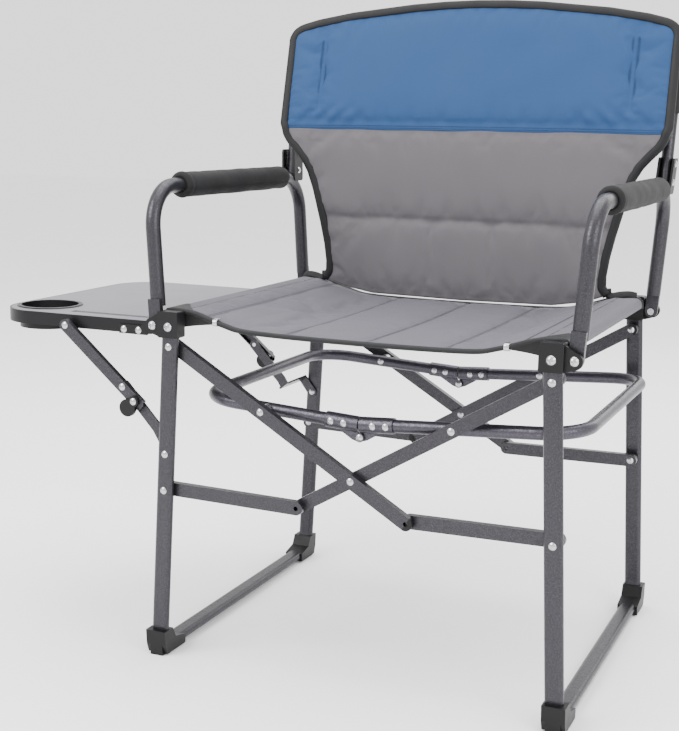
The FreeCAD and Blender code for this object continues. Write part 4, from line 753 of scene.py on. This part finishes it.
front = panel_grid(upper_point, UPPER_TALL, 0.22)
rear = panel_grid(upper_point, UPPER_TALL, 0.86)
back_upper = shell("back_upper_padded", front, rear, BACK_BLUE)
inflate(back_upper, upper_grip(front) + upper_grip(rear), 4.0, 0.0058, -0.03)
half = BACK_ACROSS * UPPER_TALL
for vertex in back_upper.data.vertices:
    above = max(0.0, vertex.co.z - SEAM_Z)
    hem = 0.0018 * math.exp(-((above - 0.011) / 0.0030) ** 2)
    side = math.exp(-((abs(vertex.co.x) - 0.215) / 0.045) ** 2)
    slant = (abs(vertex.co.x) + above * 0.9) * 210
    pucker = 0.0020 * side * math.sin(slant) * math.exp(-((above - 0.020) / 0.012) ** 2)
    vertex.co.y += hem + pucker if vertex.index < half else -hem
    vertex.co.y += ripple(vertex.co, 0.06, 0.0012, 11.0)


def back_piece(piece, slot=None, **padded):
    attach(piece, "arms_left")
    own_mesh(piece)
    return piece


subdivide(back_lower)
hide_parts("back_lower")
back_piece(back_lower, "back_grey", fill=0.5)
subdivide(back_upper)
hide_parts("back_upper")
back_piece(back_upper, "back_blue", fill=0.55)

rim = []
for u, point, steps in ((-1, lower_point, 46), (-1, upper_point, 30)):
    rim += [point(u * 0.992, k / steps, 0.52) for k in range(0 if point is lower_point else 2, steps + 1)]
rim += [upper_point(-1 + 2 * k / 90, 0.998, 0.52) for k in range(1, 90)]
for u, point, steps in ((1, upper_point, 30), (1, lower_point, 46)):
    stop = 1 if point is upper_point else -1
    rim += [point(u * 0.992, k / steps, 0.52) for k in range(steps, stop, -1)]
rim = spline(rim, 420)
rim_out = []
for point in rim:
    tilt = RECLINE * min(max((point.z - SEAM_Z + 0.01) / 0.02, 0), 1)
    rim_out.append(Vector((0, -math.cos(tilt), math.sin(tilt))))
back_piece(sweep("back_binding", rim, rim_out, 0.0064, 0.0054, BINDING), "black_plastic")
tilted = Vector((0, -math.cos(RECLINE), math.sin(RECLINE)))
blue_lines = []
for v in (0.022, 0.040):
    path = [upper_point(-0.97 + 1.94 * k / 120, v, 0.22) - tilted * -0.0006 for k in range(121)]
    blue_lines.append((path, [tilted] * 120))
for side in (-1, 1):
    for x in (0.2370, 0.2460):
        path = []
        for k in range(72):
            v = 0.17 + 0.66 * k / 71
            sway = 0.0016 if k % 2 else -0.0016
            path.append(upper_point(side * (x + sway) / 0.3015, v, 0.22) + tilted * 0.0010)
        blue_lines.append((path, [tilted] * 71))
back_piece(stitches("back_blue_stitching", blue_lines, THREAD_BLUE, 0.0028, 0.0024), "back_blue")
grey_lines = []
for offset in (-0.0018, 0.0018):
    v = (QUILT_Z + offset - 0.4845) / (SEAM_Z - 0.4845)
    path = []
    for k in range(121):
        point = lower_point(-0.97 + 1.94 * k / 120, v, 0.22)
        point.z = QUILT_Z + offset
        point.y += 0.0018
        path.append(point)
    grey_lines.append((path, [FORWARD] * 120))
back_piece(stitches("back_grey_stitching", grey_lines, THREAD_GREY), "back_grey")


# ---------------------------------------------------------------- sleeves behind the back


def centre_line(node, low, high, steps):
    """Middle of a slanted tube's cross-section at even heights."""
    co = np.array([v.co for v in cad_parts[node].data.vertices])
    bottom = co[co[:, 2] < co[:, 2].min() + 0.02].mean(0)
    top = co[co[:, 2] > co[:, 2].max() - 0.02].mean(0)
    line = []
    for k in range(steps):
        z = low + (high - low) * k / (steps - 1)
        share = (z - bottom[2]) / (top[2] - bottom[2])
        line.append(Vector(bottom + (top - bottom) * share))
    return line


for side_name, side in (("left", -1), ("right", 1)):
    post = f"back_post_{side_name}"
    post_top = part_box(post)[1].z
    line = centre_line(post, 0.745, post_top + 0.004, 34)
    verts, faces = [], []
    around = 28
    layers = []
    for layer, radius in ((0, 0.0116), (1, 0.0098)):
        for k, middle in enumerate(line):
            near_top = max(0.0, (middle.z - post_top + 0.010) / 0.014)
            shrink = math.sqrt(max(0.0, 1 - min(near_top, 1) ** 2)) if near_top > 0 else 1.0
            size = max(radius * shrink, 0.0008 if layer else 0.0022)
            for step in range(around):
                angle = 2 * math.pi * step / around
                fold = 1 + (0.05 * math.sin(3 * angle + middle.z * 90) if layer == 0 else 0)
                verts.append(middle + Vector((math.cos(angle), math.sin(angle), 0)) * size * fold)
    rings = len(line)
    for layer in (0, 1):
        for k in range(rings - 1):
            for step in range(around):
                a = (layer * rings + k) * around + step
                b = (layer * rings + k) * around + (step + 1) % around
                quad = (a, b, b + around, a + around)
                faces.append(quad if layer == 0 else tuple(reversed(quad)))
    for step in range(around):
        a, b = step, (step + 1) % around
        inner = rings * around
        faces.append((b, a, inner + a, inner + b))
        last = (rings - 1) * around
        faces.append((last + a, last + b, inner + last + b, inner + last + a))
    mesh = bpy.data.meshes.new(f"post_sleeve_{side_name}")
    mesh.from_pydata([tuple(v) for v in verts], [], faces)
    sleeve = finish_piece(f"post_sleeve_{side_name}", mesh, LINING)
    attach(sleeve, f"arms_{side_name}")


# ---------------------------------------------------------------- straps at the rear corners

for side_name, side in (("left", -1), ("right", 1)):
    start = lower_point(side * 0.992, 0.0, 0.52)
    curl = [
        start + Vector((0, 0, 0.010)), start + Vector((side * 0.001, 0.001, 0.002)),
        start + Vector((side * 0.007, 0.004, -0.0010)), start + Vector((side * 0.018, 0.007, 0.0010)),
        start + Vector((side * 0.030, 0.010, 0.0020)), start + Vector((side * 0.040, 0.013, 0.0002)),
    ]
    path = spline(curl, 44)
    outs = [Vector((side * 0.3, -0.75, 0.6)).normalized() for _ in path]
    strap = sweep(f"corner_strap_{side_name}", path, outs, 0.0056, 0.0036, BINDING)
    back_piece(strap, "black_plastic")


# ---------------------------------------------------------------- foam grips

for side_name, side in (("left", -1), ("right", 1)):
    low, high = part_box(f"grip_{side_name}")
    cx, cz = (low.x + high.x) / 2, (low.z + high.z) / 2
    outer = (high.x - low.x) / 2
    inner = 0.0104
    rings, around = 96, 56
    verts, faces = [], []
    for layer in (0, 1):
        for k in range(rings):
            share = k / (rings - 1)
            y = low.y + (high.y - low.y) * share
            from_front, from_rear = y - low.y, high.y - y
            for step in range(around):
                angle = 2 * math.pi * step / around
                if layer:
                    radius = inner
                else:
                    radius = outer - 0.0012
                    radius += ripple((math.cos(angle) * 0.02, y * 0.6, math.sin(angle) * 0.02),
                                     0.022, 0.0011, 5 + side)
                    radius -= 0.0011 * math.exp(-((from_front - 0.0125) / 0.0022) ** 2)
                    radius += 0.0009 * math.exp(-((from_front - 0.0065) / 0.0040) ** 2)
                    for gap in (from_front, from_rear):
                        if gap < 0.005:
                            radius -= 0.0042 * (1 - math.sqrt(max(0.0, 1 - (1 - gap / 0.005) ** 2)))
                    seam = (angle - math.radians(200 if side > 0 else 340) + math.pi) % (2 * math.pi) - math.pi
                    radius -= 0.0013 * math.exp(-(seam / 0.055) ** 2)
                verts.append((cx + math.cos(angle) * radius, y, cz + math.sin(angle) * radius))
    for layer in (0, 1):
        for k in range(rings - 1):
            for step in range(around):
                a = (layer * rings + k) * around + step
                b = (layer * rings + k) * around + (step + 1) % around
                quad = (a, a + around, b + around, b)
                faces.append(quad if layer == 0 else tuple(reversed(quad)))
    for k, turned in ((0, False), (rings - 1, True)):
        for step in range(around):
            a, b = k * around + step, k * around + (step + 1) % around
            deep = rings * around
            quad = (a, b, deep + b, deep + a)
            faces.append(tuple(reversed(quad)) if turned else quad)
    mesh = bpy.data.meshes.new(f"grip_foam_{side_name}")
    mesh.from_pydata(verts, [], faces)
    grip = finish_piece(f"grip_foam_{side_name}", mesh, FOAM)
    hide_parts(f"grip_{side_name}")
    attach(grip, f"arms_{side_name}")


# ---------------------------------------------------------------- camera, light and floor

AZIMUTH, ELEVATION, ROLL = math.radians(23.8), math.radians(10.7), math.radians(0.8)
ahead = Vector((-math.sin(AZIMUTH) * math.cos(ELEVATION), math.cos(AZIMUTH) * math.cos(ELEVATION),
                -math.sin(ELEVATION)))
right = Vector((math.cos(AZIMUTH), math.sin(AZIMUTH), 0))
up = right.cross(ahead)
right_rolled = right * math.cos(ROLL) + up * math.sin(ROLL)
up_rolled = up * math.cos(ROLL) - right * math.sin(ROLL)
camera_data = bpy.data.cameras.new("camera")
camera_data.lens = 65.0
camera_data.sensor_width = 36.0
camera_data.shift_x = 0.0077
camera_data.shift_y = 0.0056
camera = bpy.data.objects.new("camera", camera_data)
bpy.context.scene.collection.objects.link(camera)
turn = Matrix((right_rolled, up_rolled, -ahead)).transposed().to_4x4()
camera.matrix_world = Matrix.Translation((0.633, -1.720, 0.729)) @ turn
bpy.context.scene.camera = camera


def light(name, place, target, size, watts, tall=None):
    data = bpy.data.lights.new(name, "AREA")
    data.shape = "RECTANGLE"
    data.size, data.size_y = size, tall or size
    data.energy = watts
    lamp = bpy.data.objects.new(name, data)
    bpy.context.scene.collection.objects.link(lamp)
    lamp.location = place
    lamp.rotation_euler = (Vector(target) - Vector(place)).to_track_quat("-Z", "Y").to_euler()


light("key_softbox", (-1.5, -2.0, 2.3), (0, 0, 0.45), 1.6, 95)
light("fill_softbox", (2.2, -1.2, 1.5), (0, 0, 0.45), 1.6, 38)
light("top_softbox", (0.0, 0.3, 2.8), (0, 0, 0.4), 2.4, 85)
light("rim_softbox", (0.6, 2.2, 1.8), (0, 0, 0.5), 1.6, 20)
world = bpy.data.worlds.new("studio")
world.use_nodes = True
world.node_tree.nodes["Background"].inputs["Color"].default_value = (1, 1, 1, 1)
world.node_tree.nodes["Background"].inputs["Strength"].default_value = 1.75
bpy.context.scene.world = world

floor_look = Look("floor_plain", 0.85)
floor_look.colour(floor_look.ramp(floor_look.noise(2.0, 2.0),
                                  [(0.3, (0.95, 0.95, 0.95)), (0.7, (0.97, 0.97, 0.97))]))
floor_mesh = bpy.data.meshes.new("floor")
wide = 12.0
floor_mesh.from_pydata([(-wide, -wide, 0), (wide, -wide, 0), (wide, wide, 0), (-wide, wide, 0)],
                       [], [(0, 1, 2, 3)])
floor = finish_piece("floor", floor_mesh, floor_look.material)
floor.location.z = CAD_BOX[0].z
